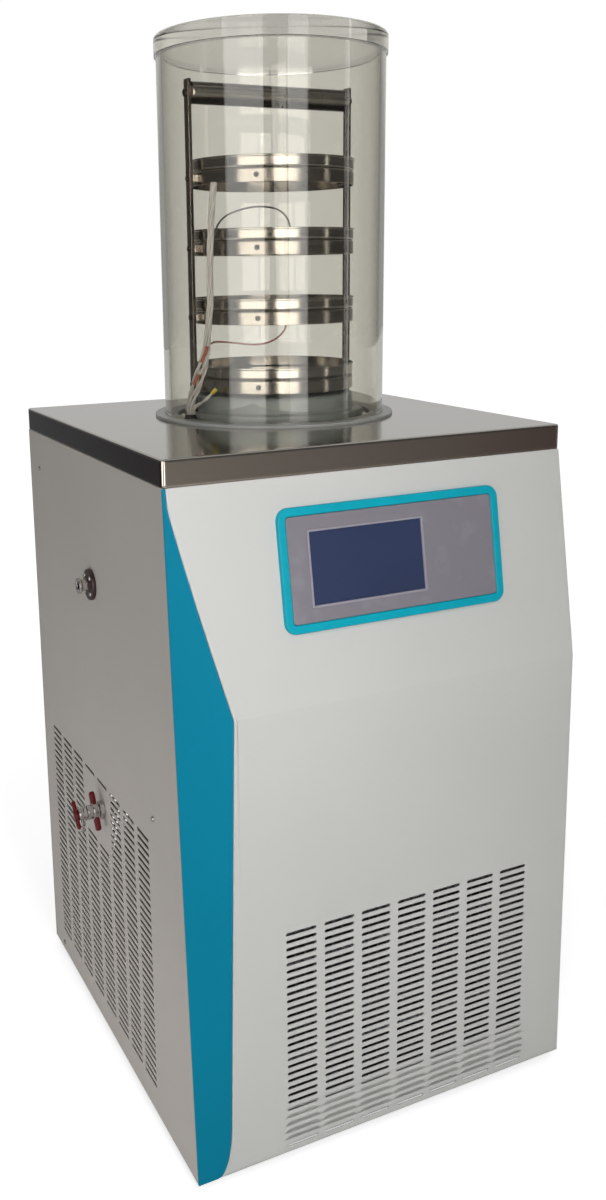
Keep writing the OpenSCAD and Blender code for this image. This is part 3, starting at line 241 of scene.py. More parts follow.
def turned(rows: Rows, steps: int, segments: int, axis: Array | Pair = (0, 0)) -> Shell:
    """Piece turned about a vertical axis from a profile with rounded corners.

    point(i, k) = (r_i cos a_k, r_i sin a_k, z_i) from the axis.  The profile runs
    anticlockwise with the radius to the right, so faces point outwards.  One
    that starts and ends on the axis closes in two poles, any other in a ring.

    Args:
        rows: (radius, height, corner's radius) of the profile's corners.
        steps: parts of each rounded corner.
        segments: parts of the full turn.
        axis: x and y of the axis.

    Returns:
        The closed surface.
    """
    pole = rows[0][0] == 0 and rows[-1][0] == 0
    profile = fillet(rows, steps, not pole)
    ring = profile[1:-1] if pole else profile
    verts = polar(ring[:, 0], around(segments)[:, None], ring[:, 1]).reshape(-1, 3)
    tris = np.empty((0, 3), int)
    if pole:
        n, low, k = len(ring), len(verts), np.arange(segments)
        ahead = (k + 1) % segments
        verts = np.concatenate([verts, points(0, 0, profile[[0, -1], 1])])
        tris = np.concatenate([points(low, ahead * n, k * n), points(low + 1, k * n + n - 1, ahead * n + n - 1)])
    return Shell(verts + np.array([*axis, 0]), grid_quads(segments, len(ring), True, not pole), tris)


def lofted(rings: Array, closed: bool = False) -> Shell:
    """Skin through rings that run anticlockwise seen from the last one.

    Faces join point i of one ring to point i of the next.

    Args:
        rings: (k, n, 3) points.
        closed: whether the last ring joins the first; if not, each end gets a flat face.

    Returns:
        The closed surface.
    """
    k, n = rings.shape[:2]
    flats = () if closed else (np.arange(n)[::-1] * k, np.arange(n) * k + k - 1)
    return Shell(rings.transpose(1, 0, 2).reshape(-1, 3), grid_quads(n, k, True, closed), flats=flats)


def rect_rings(size: Array | Pair, r: float, profile: Rows | Array, steps: int = 6,
               along: Sequence[float] = (0.04, 0.96)) -> Array:
    """Anticlockwise rings of a rounded rectangle, one for each (inset, height) pair.

    With inset i the sides are w - 2i and h - 2i, and the corner radius is the
    larger of r - i and a hair.  Corner c turns from its own quarter angle
    through 90 degrees: point = corner centre + radius (cos t, sin t).

    Args:
        size: width and height.
        r: corner radius.
        profile: (inset, height) pairs.
        steps: parts of each corner.
        along: shares of a side at which it gets extra points.

    Returns:
        Rings, (k, n, 3).
    """
    inset, height = np.array(profile, float).T
    t = np.linspace(0, math.pi / 2, steps + 1)[None, :] + (np.arange(4) * math.pi / 2)[:, None]
    sign = np.array([[1, 1], [-1, 1], [-1, -1], [1, -1]], float)[:, None, :]
    inset = inset[:, None, None, None]
    rho = np.maximum(r - inset, 0.01)
    arc = sign * (np.array(size) / 2 - inset - rho) + rho * np.stack([np.cos(t), np.sin(t)], -1)
    share = np.array(along)[None, None, :, None]
    side = arc[:, :, -1:] * (1 - share) + np.roll(arc[:, :, :1], -1, 1) * share
    x, y = np.moveaxis(np.concatenate([arc, side], 2).reshape(len(height), -1, 2), -1, 0)
    return points(x, y, height[:, None])


def slab(w: float, h: float, r: float, z0: float, z1: float, soft: float, steps: int = 6) -> Shell:
    """Rounded rectangular slab, carried up a profile whose ends are rounded.

    Args:
        w: width.
        h: height.
        r: radius of its four upright edges.
        z0: level of its bottom.
        z1: level of its top.
        soft: radius of its long edges.
        steps: parts of each corner.

    Returns:
        The closed surface.
    """
    profile = fillet([(w, z0, 0), (0, z0, soft), (0, z1, soft), (w, z1, 0)], 3, False)[1:-1]
    return lofted(rect_rings((w, h), r, profile[profile[:, 0] < min(w, h) * 0.45], steps))


def offset_rings(outline: Array, profile: Array) -> Array:
    """Rings of a smooth closed outline, one for each (inset, height) pair of a profile.

    The normal at a point is the direction between its neighbours turned right,
    and each ring is the outline less its inset times the normal.

    Args:
        outline: (n, 2) points, anticlockwise.
        profile: (k, 2) pairs.

    Returns:
        Rings, (k, n, 3).
    """
    along = unit(np.roll(outline, -1, 0) - np.roll(outline, 1, 0))
    inset, height = profile.T[:, :, None]
    return points(outline[:, 0] - inset * along[:, 1], outline[:, 1] + inset * along[:, 0], height)


def hexagon(flat: float, angles: Array) -> Array:
    """Distance from the middle to the edge of a hexagon whose flats are flat away."""
    sixth = math.pi / 3
    return flat / np.cos((angles + sixth / 2) % sixth - sixth / 2)


def hex_nut(flat: float, height: float, bore: float) -> Shell:
    """Hexagonal nut with turned chamfers, its bottom at z = 0.

    On a chamfer the height falls by tan(30 degrees) times the distance by which
    the hexagon reaches past the circle that touches its flats.

    Args:
        flat: distance from the middle to a flat.
        height: height.
        bore: radius of the hole.

    Returns:
        The closed surface.
    """
    a = around(96)
    hexa = hexagon(flat, a)
    drop = (hexa - flat) * math.tan(math.radians(30)) + flat * 0.02
    rings = ((bore, 0), (flat * 0.97, 0), (hexa, drop), (hexa, height - drop), (flat * 0.97, height), (bore, height))
    return lofted(np.stack([polar(r, a, z) for r, z in rings]), True)


def button_screw(r: float, h: float) -> Shell:
    """Domed screw head with a hexagonal socket, its seat at z = 0.

    Args:
        r: radius of the head.
        h: its height.

    Returns:
        The head.
    """
    a = around(48)
    key = hexagon(0.42 * r, a)
    dome = ((0.96, -0.12), (1.0, 0.0), (1.0, 0.22), (0.93, 0.55), (0.8, 0.82), (0.64, 0.97), (0.54, 1.0))
    rings = [(r * k, z) for k, z in dome] + [(key * 1.06, 1.0), (key, 0.9), (key * 0.98, 0.35)]
    return lofted(np.stack([polar(k, a, h * z) for k, z in rings]))


def crosswise(path: Array) -> tuple[Array, Array]:
    """Two directions square to a path at each point: tangent t cross Y, and t cross that.

    Args:
        path: points, a row each.

    Returns:
        The two directions, a row for each point.
    """
    t = unit(np.gradient(path, axis=0))
    n = unit(np.cross(t, [0, 1, 0]))
    return n, np.cross(t, n)


def tube(path: Array, radius: float, sides: int) -> Shell:
    """Round tube along a path, with flat ends: path_i + radius (cos a n + sin a b).

    Args:
        path: (k, 3) points of its middle.
        radius: its radius.
        sides: parts of its round.

    Returns:
        The closed surface.
    """
    n, b = (way[:, None] for way in crosswise(path))
    a = around(sides)[:, None]
    return lofted(path[:, None] + radius * (np.cos(a) * n + np.sin(a) * b))


class FoldLine:
    """Sheet profile in a plane: a polyline whose corners are bent to a radius."""

    def __init__(self, rows: Rows) -> None:
        """Measures the length along the profile and the inward normal at each point.

        Args:
            rows: (y, z, bend radius) of the outer face's corners, walked with the
                sheet's inside to the right.
        """
        self.points = fillet(rows, 5, False)
        self.at_length = lengths(self.points)
        step = unit(np.diff(self.points, axis=0))
        side = np.stack([step[:, 1], -step[:, 0]], -1)
        both = np.concatenate([side[:1], side]) + np.concatenate([side, side[-1:]])
        self.inward = both / (both**2).sum(1)[:, None] * 2

    def at(self, s: Array, depth: float = 0.0) -> tuple[Array, Array]:
        """Y and Z at lengths s, moved inwards by depth."""
        inner = self.points + self.inward * depth
        return np.interp(s, self.at_length, inner[:, 0]), np.interp(s, self.at_length, inner[:, 1])


@dataclass(frozen=True)
class Vents:
    """Round-ended slots in the plane of a sheet, in columns along u and rows along v.

    Args:
        cols: number of columns.
        rows: number of rows.
        mid: middle of the columns.
        low: v of the lowest row.
        pitch: distances between columns and between rows.
        blank: (column, row) pairs that are left out.
        size: length and height of a slot.
        lip: width of the small chamfer round a slot.
    """

    cols: int
    rows: int
    mid: float
    low: float
    pitch: Pair = (53, 10)
    blank: frozenset[tuple[int, int]] = frozenset()
    size: Pair = (42, 4.5)
    lip: float = 0.35

    @property
    def first(self) -> Pair:
        """Middle of the lowest slot of the first column."""
        return self.mid - (self.cols - 1) / 2 * self.pitch[0], self.low

    def lines(self) -> tuple[Array, Array]:
        """Cell borders along u and along v."""
        (u, v), (du, dv) = self.first, self.pitch
        return u + (np.arange(self.cols + 1) - 0.5) * du, v + (np.arange(self.rows + 1) - 0.5) * dv

    def loop(self, grow: float = 0.0) -> Array:
        """Outline of one slot about its middle, grown by grow, anticlockwise from below its right end.

        Args:
            grow: how far it stands off the slot, all round.

        Returns:
            Its points, a row each.
        """
        r, t = self.size[1] / 2, np.linspace(-math.pi / 2, math.pi / 2, 5)
        right = np.stack([self.size[0] / 2 - r + (r + grow) * np.cos(t), (r + grow) * np.sin(t)], -1)
        return np.concatenate([right, -right])

    def cells(self) -> tuple[Array, Array]:
        """Column and row of each slot.

        Returns:
            Columns and rows, in the same order.
        """
        c, r = np.indices((self.cols, self.rows)).reshape(2, -1)
        kept = [pair not in self.blank for pair in zip(c.tolist(), r.tolist())]
        return c[kept], r[kept]


def edge_profile(bend: float, depth: float, thick: float) -> Array:
    """Profile round the edge of a sheet, from its outer to its inner face.

    The sheet turns through 90 degrees with radius bend, point = bend (sin t,
    1 - cos t), and runs on to depth.  Where depth isn't more than thick the edge
    is only softened by bend.

    Args:
        bend: outer radius.
        depth: how far inwards the edge reaches.
        thick: thickness of the sheet.

    Returns:
        (outwards, inwards) pairs, (m, 2).
    """
    t = np.linspace(0, math.pi / 2, 6)
    outer = bend * np.stack([np.sin(t), 1 - np.cos(t)], -1)
    if depth <= thick:
        inner = np.stack([bend * np.cos(t) * 0.9, np.full(len(t), thick)], -1)
        return np.concatenate([outer, [[bend, thick * 0.9], [bend * 0.95, thick]], inner])
    r = max(bend - thick, 0.1)
    inner = np.stack([r * np.cos(t), bend - r * np.sin(t)], -1)
    return np.concatenate([outer, [[bend, depth], [bend - thick, depth]], inner])


def slotted_sheet(us: Array, vs: Array, where: Callable[[Array, Array, float], Array], thick: float,
                  rims: tuple[Array, Array, Array, Array], slots: Vents) -> Shell:
    """Closed sheet on a grid of u and v lines, with slots cut in some of its cells.

    A cell with a slot joins its four corners to the slot's outline by a fan, so
    that its neighbours share only the corners.  The inner face is the same grid
    at depth thick.  Each side of the border goes on round its own edge profile,
    outwards along the sheet and then inwards, and meets the inner face; at a
    corner the outward parts of both sides add up, and the lesser depth holds.

    Args:
        us: lines along u, which include the slots' cell borders.
        vs: lines along v.
        where: function of arrays u, v and a depth that gives points (..., 3);
            u cross v points out of the sheet.
        thick: thickness of the sheet.
        rims: edge profiles of the low v, high u, high v and low u sides.
        slots: the slots.

    Returns:
        The closed sheet.
    """
    nu, nv = len(us), len(vs)
    c, r = slots.cells()
    gu, gv = (np.searchsorted(lines, border[:-1] + 1e-3)[cell] - 1
              for lines, border, cell in zip((us, vs), slots.lines(), (c, r)))
    solid = np.ones((nu - 1, nv - 1), bool)
    solid[gu, gv] = False
    # Numbers of the slots' outer loops, of their cells' corners, and of the corner each loop point fans to.
    m = len(slots.loop())
    i, ring = np.arange(m), nu * nv + (np.arange(len(c)) * m)[:, None]
    j = (i + 1) % m
    corner = np.stack([(gu + 1) * nv + gv, (gu + 1) * nv + gv + 1, gu * nv + gv + 1, gu * nv + gv], -1)
    owner = (i % (m // 2) > (m // 2 - 1) / 2) + 2 * (i // (m // 2))
    same = owner == owner[j]
    tris = np.stack([ring + i[same], corner[:, owner[same]], ring + j[same]], -1).reshape(-1, 3)
    p, q = i[~same], j[~same]
    turns = np.stack([ring + p, corner[:, owner[p]], corner[:, owner[q]], ring + q], -1).reshape(-1, 4)
    walls = np.stack([ring + i, ring + j], -1).reshape(-1, 2)
    # The inner face follows the outer one's points, and the loops between them come last.
    total = nu * nv + len(c) * m
    mid = 2 * total - nu * nv
    face = np.concatenate([grid_quads(nu, nv)[solid.ravel()], turns])
    lip = np.concatenate([walls, walls[:, ::-1] + mid], 1)
    deep = np.concatenate([walls + mid, walls[:, ::-1] + total], 1)
    mids = np.stack([c, r], -1) * slots.pitch + slots.first
    outer, inner = ((mids[:, None] + slots.loop(grow)).reshape(-1, 2).T for grow in (slots.lip, 0.0))
    u, v = np.meshgrid(us, vs, indexing="ij")
    skin, back = where(u, v, 0.0), where(u, v, thick)
    verts = [skin.reshape(-1, 3), where(*outer, 0.0), back.reshape(-1, 3), where(*inner, thick),
             where(*inner, slots.lip)]
    # The border: outward directions of its four sides, then one ring for each point of the profiles.
    g = np.arange(nu * nv).reshape(nu, nv)
    edge = np.concatenate([g[:-1, 0], g[-1, :-1], g[:0:-1, -1], g[0, :0:-1]])
    out = np.zeros((4, nu, nv, 3))
    out[0, :, 0], out[1, -1] = skin[:, 0] - skin[:, 1], skin[-1] - skin[-2]
    out[2, :, -1], out[3, 0] = skin[:, -1] - skin[:, -2], skin[0] - skin[1]
    out = unit(out.reshape(4, -1, 3)[:, edge])
    shape = np.stack(rims)[:, 1:-1, None]
    reach = (out[:, None] * shape[..., :1]).sum(0)
    beside = (out != 0).any(-1)[:, None, :, None]
    depth = np.where(beside, shape[..., 1:], np.inf).min(0)
    inward = (back - skin).reshape(-1, 3)[edge] / thick
    rings = verts[0][edge] + reach + inward * depth
    k, n = rings.shape[:2]
    row = np.concatenate([edge[None], total + mid + np.arange(k * n).reshape(k, n), edge[None] + total])
    nxt = np.roll(row, -1, 1)
    rim = np.stack([row[:-1], row[1:], nxt[1:], nxt[:-1]], -1).reshape(-1, 4)
    return Shell(
        np.concatenate([*verts, rings.reshape(-1, 3)]),
        np.concatenate([face, face[:, ::-1] + total, lip, deep, rim]),
        np.concatenate([tris, tris[:, ::-1] + total]),
    )


def merged_lines(*parts: Array | list[float]) -> Array:
    """Sorted grid lines from several lists, with near repeats dropped."""
    every = np.sort(np.concatenate([np.ravel(p) for p in parts]))
    return every[np.concatenate([[True], np.diff(every) > 0.01])]


def flanked(lines: Array, gap: float = 2.0) -> Array:
    """The lines with one more close inside each end."""
    return np.concatenate([lines[:1], [lines[0] + gap], lines[1:-1], [lines[-1] - gap], lines[-1:]])


# ---------------------------------------------------------------- finishes


def tone(rgb: Triple, by: float = 1.0) -> tuple[float, ...]:
    """Linear colour, with alpha, of 0 to 255 display values, times by."""
    c = np.array(rgb) / 255
    return (*(by * np.where(c <= 0.04045, c / 12.92, ((c + 0.055) / 1.055) ** 2.4)).tolist(), 1.0)


class Nodes:
    """Makes and joins the shader nodes of one tree."""

    def __init__(self, tree: bpy.types.NodeTree) -> None:
        """Keeps the tree and its texture coordinates."""
        self.tree = tree
        self.coords = tree.nodes.new("ShaderNodeTexCoord").outputs

    def feed(self, socket: Socket, value: Feed) -> None:
        """Joins a socket to another one, or sets it to a constant."""
        if isinstance(value, Socket):
            self.tree.links.new(value, socket)
        else:
            socket.default_value = value

    def put(self, kind: str, feeds: dict[int | str, Feed], out: int | str = 0, **settings: str) -> Socket:
        """Makes a node.

        Args:
            kind: its type, without the prefix that all have.
            feeds: what goes into its inputs.
            out: the output that is wanted.
            settings: its own properties.

        Returns:
            That output.
        """
        made = self.tree.nodes.new("ShaderNode" + kind)
        for key, value in settings.items():
            setattr(made, key, value)
        for key, value in feeds.items():
            self.feed(made.inputs[key], value)
        return made.outputs[out]

    def math(self, how: str, *feeds: Feed) -> Socket:
        """Result of one operation on sockets or numbers."""
        return self.put("Math", dict(enumerate(feeds)), operation=how)

    def span(self, value: Socket, low: float, high: float, from_low: float = 0.0, from_high: float = 1.0) -> Socket:
        """Value carried from one range to another and held inside it."""
        return self.put("MapRange", {"Value": value, "From Min": from_low, "From Max": from_high, "To Min": low,
                                     "To Max": high})

    def mix(self, share: Feed, a: Feed, b: Feed) -> Socket:
        """Colour between a and b."""
        return self.put("Mix", {0: share, 6: a, 7: b}, 2, data_type="RGBA")

    def axis(self, name: str) -> Socket:
        """One component of the Object coordinates."""
        return self.put("SeparateXYZ", {0: self.coords["Object"]}, name)

    def noise(self, scale: float, detail: float = 3, rough: float = 0.5, stretch: Triple | None = None) -> Socket:
        """Noise on Object coordinates, which stretch multiplies.

        Args:
            scale: cells in a metre, before the stretch.
            detail: octaves.
            rough: strength of the finer octaves.
            stretch: factor along each axis.

        Returns:
            Its factor.
        """
        vector = self.coords["Object"]
        if stretch:
            vector = self.put("Mapping", {"Vector": vector, "Scale": stretch})
        return self.put("TexNoise", {"Vector": vector, "Scale": scale, "Detail": detail, "Roughness": rough})

    def sight(self) -> tuple[bpy.types.bpy_prop_collection, Socket]:
        """Facts of the light path, and a mask for rays that have only passed clear walls.

        Returns:
            The outputs of the light path and the mask.
        """
        path = self.tree.nodes.new("ShaderNodeLightPath").outputs
        straight = self.math("LESS_THAN", self.math("ADD", path["Diffuse Depth"], path["Glossy Depth"]), 0.5)
        return path, self.math("MULTIPLY", straight, path["Is Transmission Ray"])


class Painter(Nodes):
    """Nodes of one material, round its Principled shader."""

    def __init__(self, name: str) -> None:
        """Starts the material of that name.

        Args:
            name: name of the material.
        """
        self.material = bpy.data.materials.new(name)
        self.material.use_nodes = True
        super().__init__(self.material.node_tree)

    def coat(self, **feeds: Feed) -> None:
        """Feeds the shader's sockets, named with underscores for spaces."""
        for key, value in feeds.items():
            self.feed(self.tree.nodes["Principled BSDF"].inputs[key.replace("_", " ")], value)

    def drift(self, noise: Socket, rgb: Triple, low: float, high: float, reach: float = 0.2) -> Socket:
        """Colour that drifts from low to high times rgb as the noise passes reach either side of its middle."""
        return self.mix(self.span(noise, 0, 1, 0.5 - reach, 0.5 + reach), tone(rgb, low), tone(rgb, high))

    def bump(self, height: Socket, strength: float, distance: float) -> Socket:
        """Normal of a surface with relief."""
        return self.put("Bump", {"Strength": strength, "Distance": distance, "Height": height})


@dataclass(frozen=True)
class Finish:
    """Finish of that name and colour, in 0 to 255 display values."""

    name: str
    rgb: Triple

    def build(self) -> bpy.types.Material:
        """Makes the material.

        Returns:
            The finished material.
        """
        painter = Painter(self.name)
        self.paint(painter)
        return painter.material

    def paint(self, p: Painter) -> None:
        """Feeds the shader."""
        raise NotImplementedError


@dataclass(frozen=True)
class PowderCoat(Finish):
    """Baked powder coat: fine orange peel, faint colour drift, soft gloss."""

    gloss: float = 0.42
    peel: float = 0.35
    shine: float = 0.5

    def paint(self, p: Painter) -> None:
        """Fine peel and slow, slight variation of tone."""
        p.coat(Base_Color=p.drift(p.noise(3.5, 2), self.rgb, 0.975, 1.02),
               Roughness=p.span(p.noise(60), self.gloss - 0.05, self.gloss + 0.06),
               Normal=p.bump(p.noise(900, 2, 0.4), self.peel, 0.00012), Specular_IOR_Level=self.shine)


@dataclass(frozen=True)
class Steel(Finish):
    """Stainless or plated metal whose grain runs where stretch is small."""

    rough: float = 0.25
    stretch: Triple = (60, 60, 60)
    grain: float = 0.1
    stain: float = 0.12

    def paint(self, p: Painter) -> None:
        """Roughness and height follow a stretched noise, tone a smear.

        Args:
            p: nodes of the material.
        """
        grain, smear = p.noise(1.0, 4, 0.6, self.stretch), p.noise(9.0)
        smeared = p.span(smear, self.rough - 0.03, self.rough + 0.05, 0.3, 0.7)
        p.coat(Base_Color=p.drift(smear, self.rgb, 1 - self.stain, 1 + self.stain / 2), Metallic=1.0,
               Roughness=p.math("ADD", p.span(grain, -0.06, 0.08), smeared),
               Normal=p.bump(grain, self.grain, 0.00006))


@dataclass(frozen=True)
class SheenPaintedBar(Finish):
    """Polished round bar, lighter along its middle where it mirrors the room's walls."""

    rim: Triple
    rough: float
    low: float
    high: float

    def paint(self, p: Painter) -> None:
        """Tone goes from rim to middle and back over the bar's height, low to high.

        Args:
            p: nodes of the material.
        """
        off_middle = p.math("ABSOLUTE", p.span(p.axis("Z"), -1, 1, self.low, self.high))
        grain = p.noise(1.0, 4, 0.6, (5, 300, 300))
        # Painted reflection: rim colour at the top and bottom, rgb along the middle.
        p.coat(Base_Color=p.mix(p.span(off_middle, 0, 1, 0.62, 0.22), tone(self.rim), tone(self.rgb)), Metallic=1.0,
               Roughness=p.span(grain, self.rough - 0.04, self.rough + 0.05), Normal=p.bump(grain, 0.06, 0.00004))


@dataclass(frozen=True)
class PlateSteel(Finish):
    """Polished sheet of the top plate: pale on top, smoky brown on its folded edge."""

    edge: Triple
    skirt_reflection_far: Triple
    side: Triple
    half: float
    top: float

    def paint(self, p: Painter) -> None:
        """Tone turns from edge to top just under the upper face, and to side round the left corner.

        Args:
            p: nodes of the material.
        """
        grain, smear, x = p.noise(1.0, 4, 0.6, (6, 500, 500)), p.noise(5.0, 4, 0.6), p.axis("X")
        # Painted reflection across the skirt, edge to skirt_reflection_far, and painted shade, side, on its left face.
        front = p.mix(p.span(x, 0, 1, -self.half, self.half), tone(self.edge), tone(self.skirt_reflection_far))
        edge = p.mix(p.span(x, 0, 1, 0.0002 - self.half, 0.0015 - self.half), tone(self.side), front)
        upper = p.span(p.axis("Z"), 0, 1, self.top - 0.004, self.top - 0.001)
        p.coat(Base_Color=p.mix(upper, edge, p.drift(smear, self.rgb, 0.9, 1.05)), Metallic=1.0,
               Roughness=p.math("ADD", p.span(grain, -0.02, 0.03), p.span(smear, 0.10, 0.17, 0.3, 0.7)),
               Normal=p.bump(grain, 0.12, 0.00004))


@dataclass(frozen=True)
class Moulding(Finish):
    """Moulded plastic or rubber with a fine spark-eroded texture."""

    rough: float = 0.4
    texture: float = 0.1
    scale: float = 700
    coat: float = 0.0
    clear: float = 0.0
    shine: float = 0.5

    def paint(self, p: Painter) -> None:
        """Fine relief and slight mottling."""
        p.coat(Base_Color=p.drift(p.noise(25), self.rgb, 0.93, 1.04),
               Roughness=p.span(p.noise(120), self.rough - 0.05, self.rough + 0.07),
               Normal=p.bump(p.noise(self.scale, 2), self.texture, 0.00008), Coat_Weight=self.coat,
               Coat_Roughness=0.08, Transmission_Weight=self.clear, Specular_IOR_Level=self.shine)


@dataclass(frozen=True)
class OverlayFilm(Finish):
    """Matt grey front film with faint paler key fields."""

    key: Triple

    def paint(self, p: Painter) -> None:
        """Fine speckle and soft cloudy fields."""
        cloud = p.span(p.noise(38, 2, 0.45), 0, 0.5, 0.55, 0.75)
        p.coat(Base_Color=p.mix(cloud, tone(self.rgb), tone(self.key)), Roughness=p.span(p.noise(200, 2), 0.42, 0.55),
               Normal=p.bump(p.noise(1500, 2), 0.25, 0.00005))


@dataclass(frozen=True)
class ClearWall(Finish):
    """Clear cast acrylic that darkens with the length of the light's way through it."""

    dense: float

    def paint(self, p: Painter) -> None:
        """Glass surface with a slightly absorbing inside.

        Args:
            p: nodes of the material.
        """
        p.coat(Base_Color=tone(self.rgb), Roughness=0.0, Transmission_Weight=1.0, IOR=1.49)
        inside = p.put("VolumeAbsorption", {"Color": (0.72, 0.70, 0.62, 1), "Density": self.dense})
        p.feed(p.tree.nodes["Material Output"].inputs["Volume"], inside)


@dataclass(frozen=True)
class DisplayGlass(Finish):
    """Dark navy display under a glossy front."""

    def paint(self, p: Painter) -> None:
        """Slow drift of tone and a hard coat."""
        p.coat(Base_Color=p.drift(p.noise(9, 1), self.rgb, 0.94, 1.05, 0.15), Roughness=0.32, Coat_Weight=0.35,
               Coat_Roughness=0.06, Specular_IOR_Level=0.3)


def finishes() -> dict[str, bpy.types.Material]:
    """Every material of the machine, by its name, which is mostly a slot of the record.

    Returns:
        The materials, by name.
    """
    plate, bar = Span.of("top_plate").hi * MM, Span.of("rack_crossbar")
    kinds = (
        # side_coat is the front's paint made darker and warmer: painted shade for the sides and back.
        PowderCoat("side_coat", (196, 190, 183), 0.5),
        PowderCoat("front_coat", (214, 214, 210)),
        PowderCoat("trim_coat", (0, 133, 164), 0.5, 0.2, 0.08),
        PowderCoat("compressor_black", (30, 30, 32), 0.3),
        PowderCoat("dark_coat", (62, 62, 65), 0.45),
        # The top plate's skirt tones are a painted reflection, and (38, 31, 26) is painted shade of its left face.
        PlateSteel("stainless_plate", (184, 180, 172), (214, 202, 188), (146, 126, 116), (38, 31, 26), plate[0],
                   plate[2]),
        Steel("flange_bronze", (96, 78, 80), 0.34),
        Steel("plated_screw", (196, 194, 190), 0.2),
        Steel("plated_fitting", (208, 204, 200), 0.1),
        Steel("dark_screw", (74, 66, 60), 0.3),
        Steel("copper", (200, 130, 90), 0.3),
        Steel("stainless_inner", (170, 168, 165), 0.3, (200, 200, 6), 0.2),
        Steel("rack_steel", (112, 105, 97), 0.24, (400, 400, 6)),
        Steel("shelf_steel", (176, 169, 161), 0.17, (9, 9, 300), 0.08),
        Steel("tray_steel", (190, 184, 177), 0.15, (9, 9, 300), 0.08),
        Steel("fin_aluminium", (170, 170, 172), 0.35, (300, 10, 10)),
        Steel("galvanised_steel", (160, 162, 164), 0.42, (30, 30, 30), 0.3, 0.2),
        Moulding("bezel_plastic", (0, 172, 194), 0.38, 0.08, shine=0.2),
        Moulding("screen_rim", (160, 155, 168), 0.5),
        Moulding("black_plastic", (38, 38, 40), 0.5, 0.2),
        Moulding("fan_plastic", (48, 50, 56), 0.5, 0.2),
        Moulding("black_rubber", (44, 44, 45), 0.6, 0.4),
        Moulding("handle_red", (98, 2, 12), 0.34, coat=0.12, shine=0.25),
        Moulding("switch_red", (150, 20, 20), 0.35, coat=0.3),
        Moulding("hose_silicone", (200, 200, 190), 0.35, 0.05, clear=0.4),
        Moulding("grey_silicone", (168, 169, 164), 0.3),
        Moulding("collar_plastic", (164, 171, 170), 0.42, 0.15, coat=0.3),
        Moulding("foam", (222, 205, 150), 0.9, 0.8, 300),
        Moulding("wire_white", (246, 242, 240), 0.45),
        Moulding("wire_grey", (110, 108, 104), 0.45),
        Moulding("wire_pink", (184, 120, 108), 0.45),
        Moulding("plug_yellow", (232, 214, 70)),
        OverlayFilm("overlay_film", (134, 129, 138), (150, 147, 156)),
        DisplayGlass("screen_glass", (50, 61, 94)),
        ClearWall("clear_acrylic", (248, 247, 243), 52.0),
        ClearWall("lid_acrylic", (248, 247, 243), 3.0),
        # Painted reflection on the crossbar: light middle, dark rim.
        SheenPaintedBar("bar_steel_painted_reflection", (214, 208, 198), (40, 35, 31), 0.2, bar.lo[2] * MM, bar.hi[2] * MM),
        Moulding("wire_orange", (206, 112, 78), 0.45),
    )
    return {kind.name: kind.build() for kind in kinds}


# ---------------------------------------------------------------- pieces


@dataclass
class Span:
    """Box of a CAD node at rest, in millimetres: lowest and highest corner."""

    lo: Array
    hi: Array

    @classmethod
    def of(cls, node: str) -> "Span":
        """Box of the named node."""
        return cls(*(np.array(corner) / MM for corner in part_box(node)))

    @property
    def mid(self) -> Array:
        """Middle of the box."""
        return (self.lo + self.hi) / 2

    @property
    def size(self) -> Array:
        """Lengths of the box."""
        return self.hi - self.lo

    @property
    def turn(self) -> tuple[float, float, float, Array]:
        """Radius, bottom, top and upright axis of a turned piece that fills the box."""
        return self.size[0] / 2, self.lo[2], self.hi[2], self.mid[:2]


def stand(name: str, data: bpy.types.ID, seat: Array) -> bpy.types.Object:
    """Puts a camera, lamp or mesh into the scene.

    Args:
        name: name of the object.
        data: what it shows.
        seat: its 4 x 4 matrix, in metres.

    Returns:
        The object.
    """
    made = bpy.data.objects.new(name, data)
    made.matrix_world = Matrix(seat.tolist())
    bpy.context.scene.collection.objects.link(made)
    return made


@dataclass
class Workshop:
    """Turns surfaces into pieces that ride on the frame."""

    finishes: dict[str, bpy.types.Material]

    def dress_frame(self) -> None:
        """Gives every CAD node the finish of its slot in the record."""
        for part in frame["record"]["subparts"]:
            node, finish = frame["nodes"][part["node"]], self.finishes[part["material_slot"]]
            if not node.material_slots:
                node.data.materials.append(finish)
            for place in node.material_slots:
                place.material = finish

    def make(self, name: str, shell: Shell, finish: str, replaces: str = "", body: Body = Body.CABINET,
             slot: str = "", angle: float = 32.0) -> bpy.types.Object:
        """Puts a surface into a mesh object and fits it to the frame.

        Args:
            name: name of the piece.
            shell: its surface, in place.
            finish: material name.
            replaces: CAD node that it stands for.
            body: body that it rides on.
            slot: record slot, where it isn't the finish's own name.
            angle: edges sharper than this many degrees stay sharp.

        Returns:
            The finished object.
        """
        mesh = bpy.data.meshes.new(name)
        mesh.from_pydata(shell.verts * MM, [], shell.faces())
        mesh.validate()
        mesh.polygons.foreach_set("use_smooth", np.ones(len(mesh.polygons), bool))
        mesh.set_sharp_from_angle(angle=math.radians(angle))
        mesh.update()
        mesh.materials.append(self.finishes[finish])
        made = stand(name, mesh, np.eye(4))
        if replaces:
            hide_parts(replaces)
        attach(made, body.value)
        slot or finish
        log.info("%s: %d faces on %s", name, len(mesh.polygons), body.value)
        return made


class SubAssembly:
    """Part of the machine whose pieces are made together."""

    def build(self, shop: Workshop) -> None:
        """Makes its pieces.

        Args:
            shop: where the pieces are made.
        """
        raise NotImplementedError


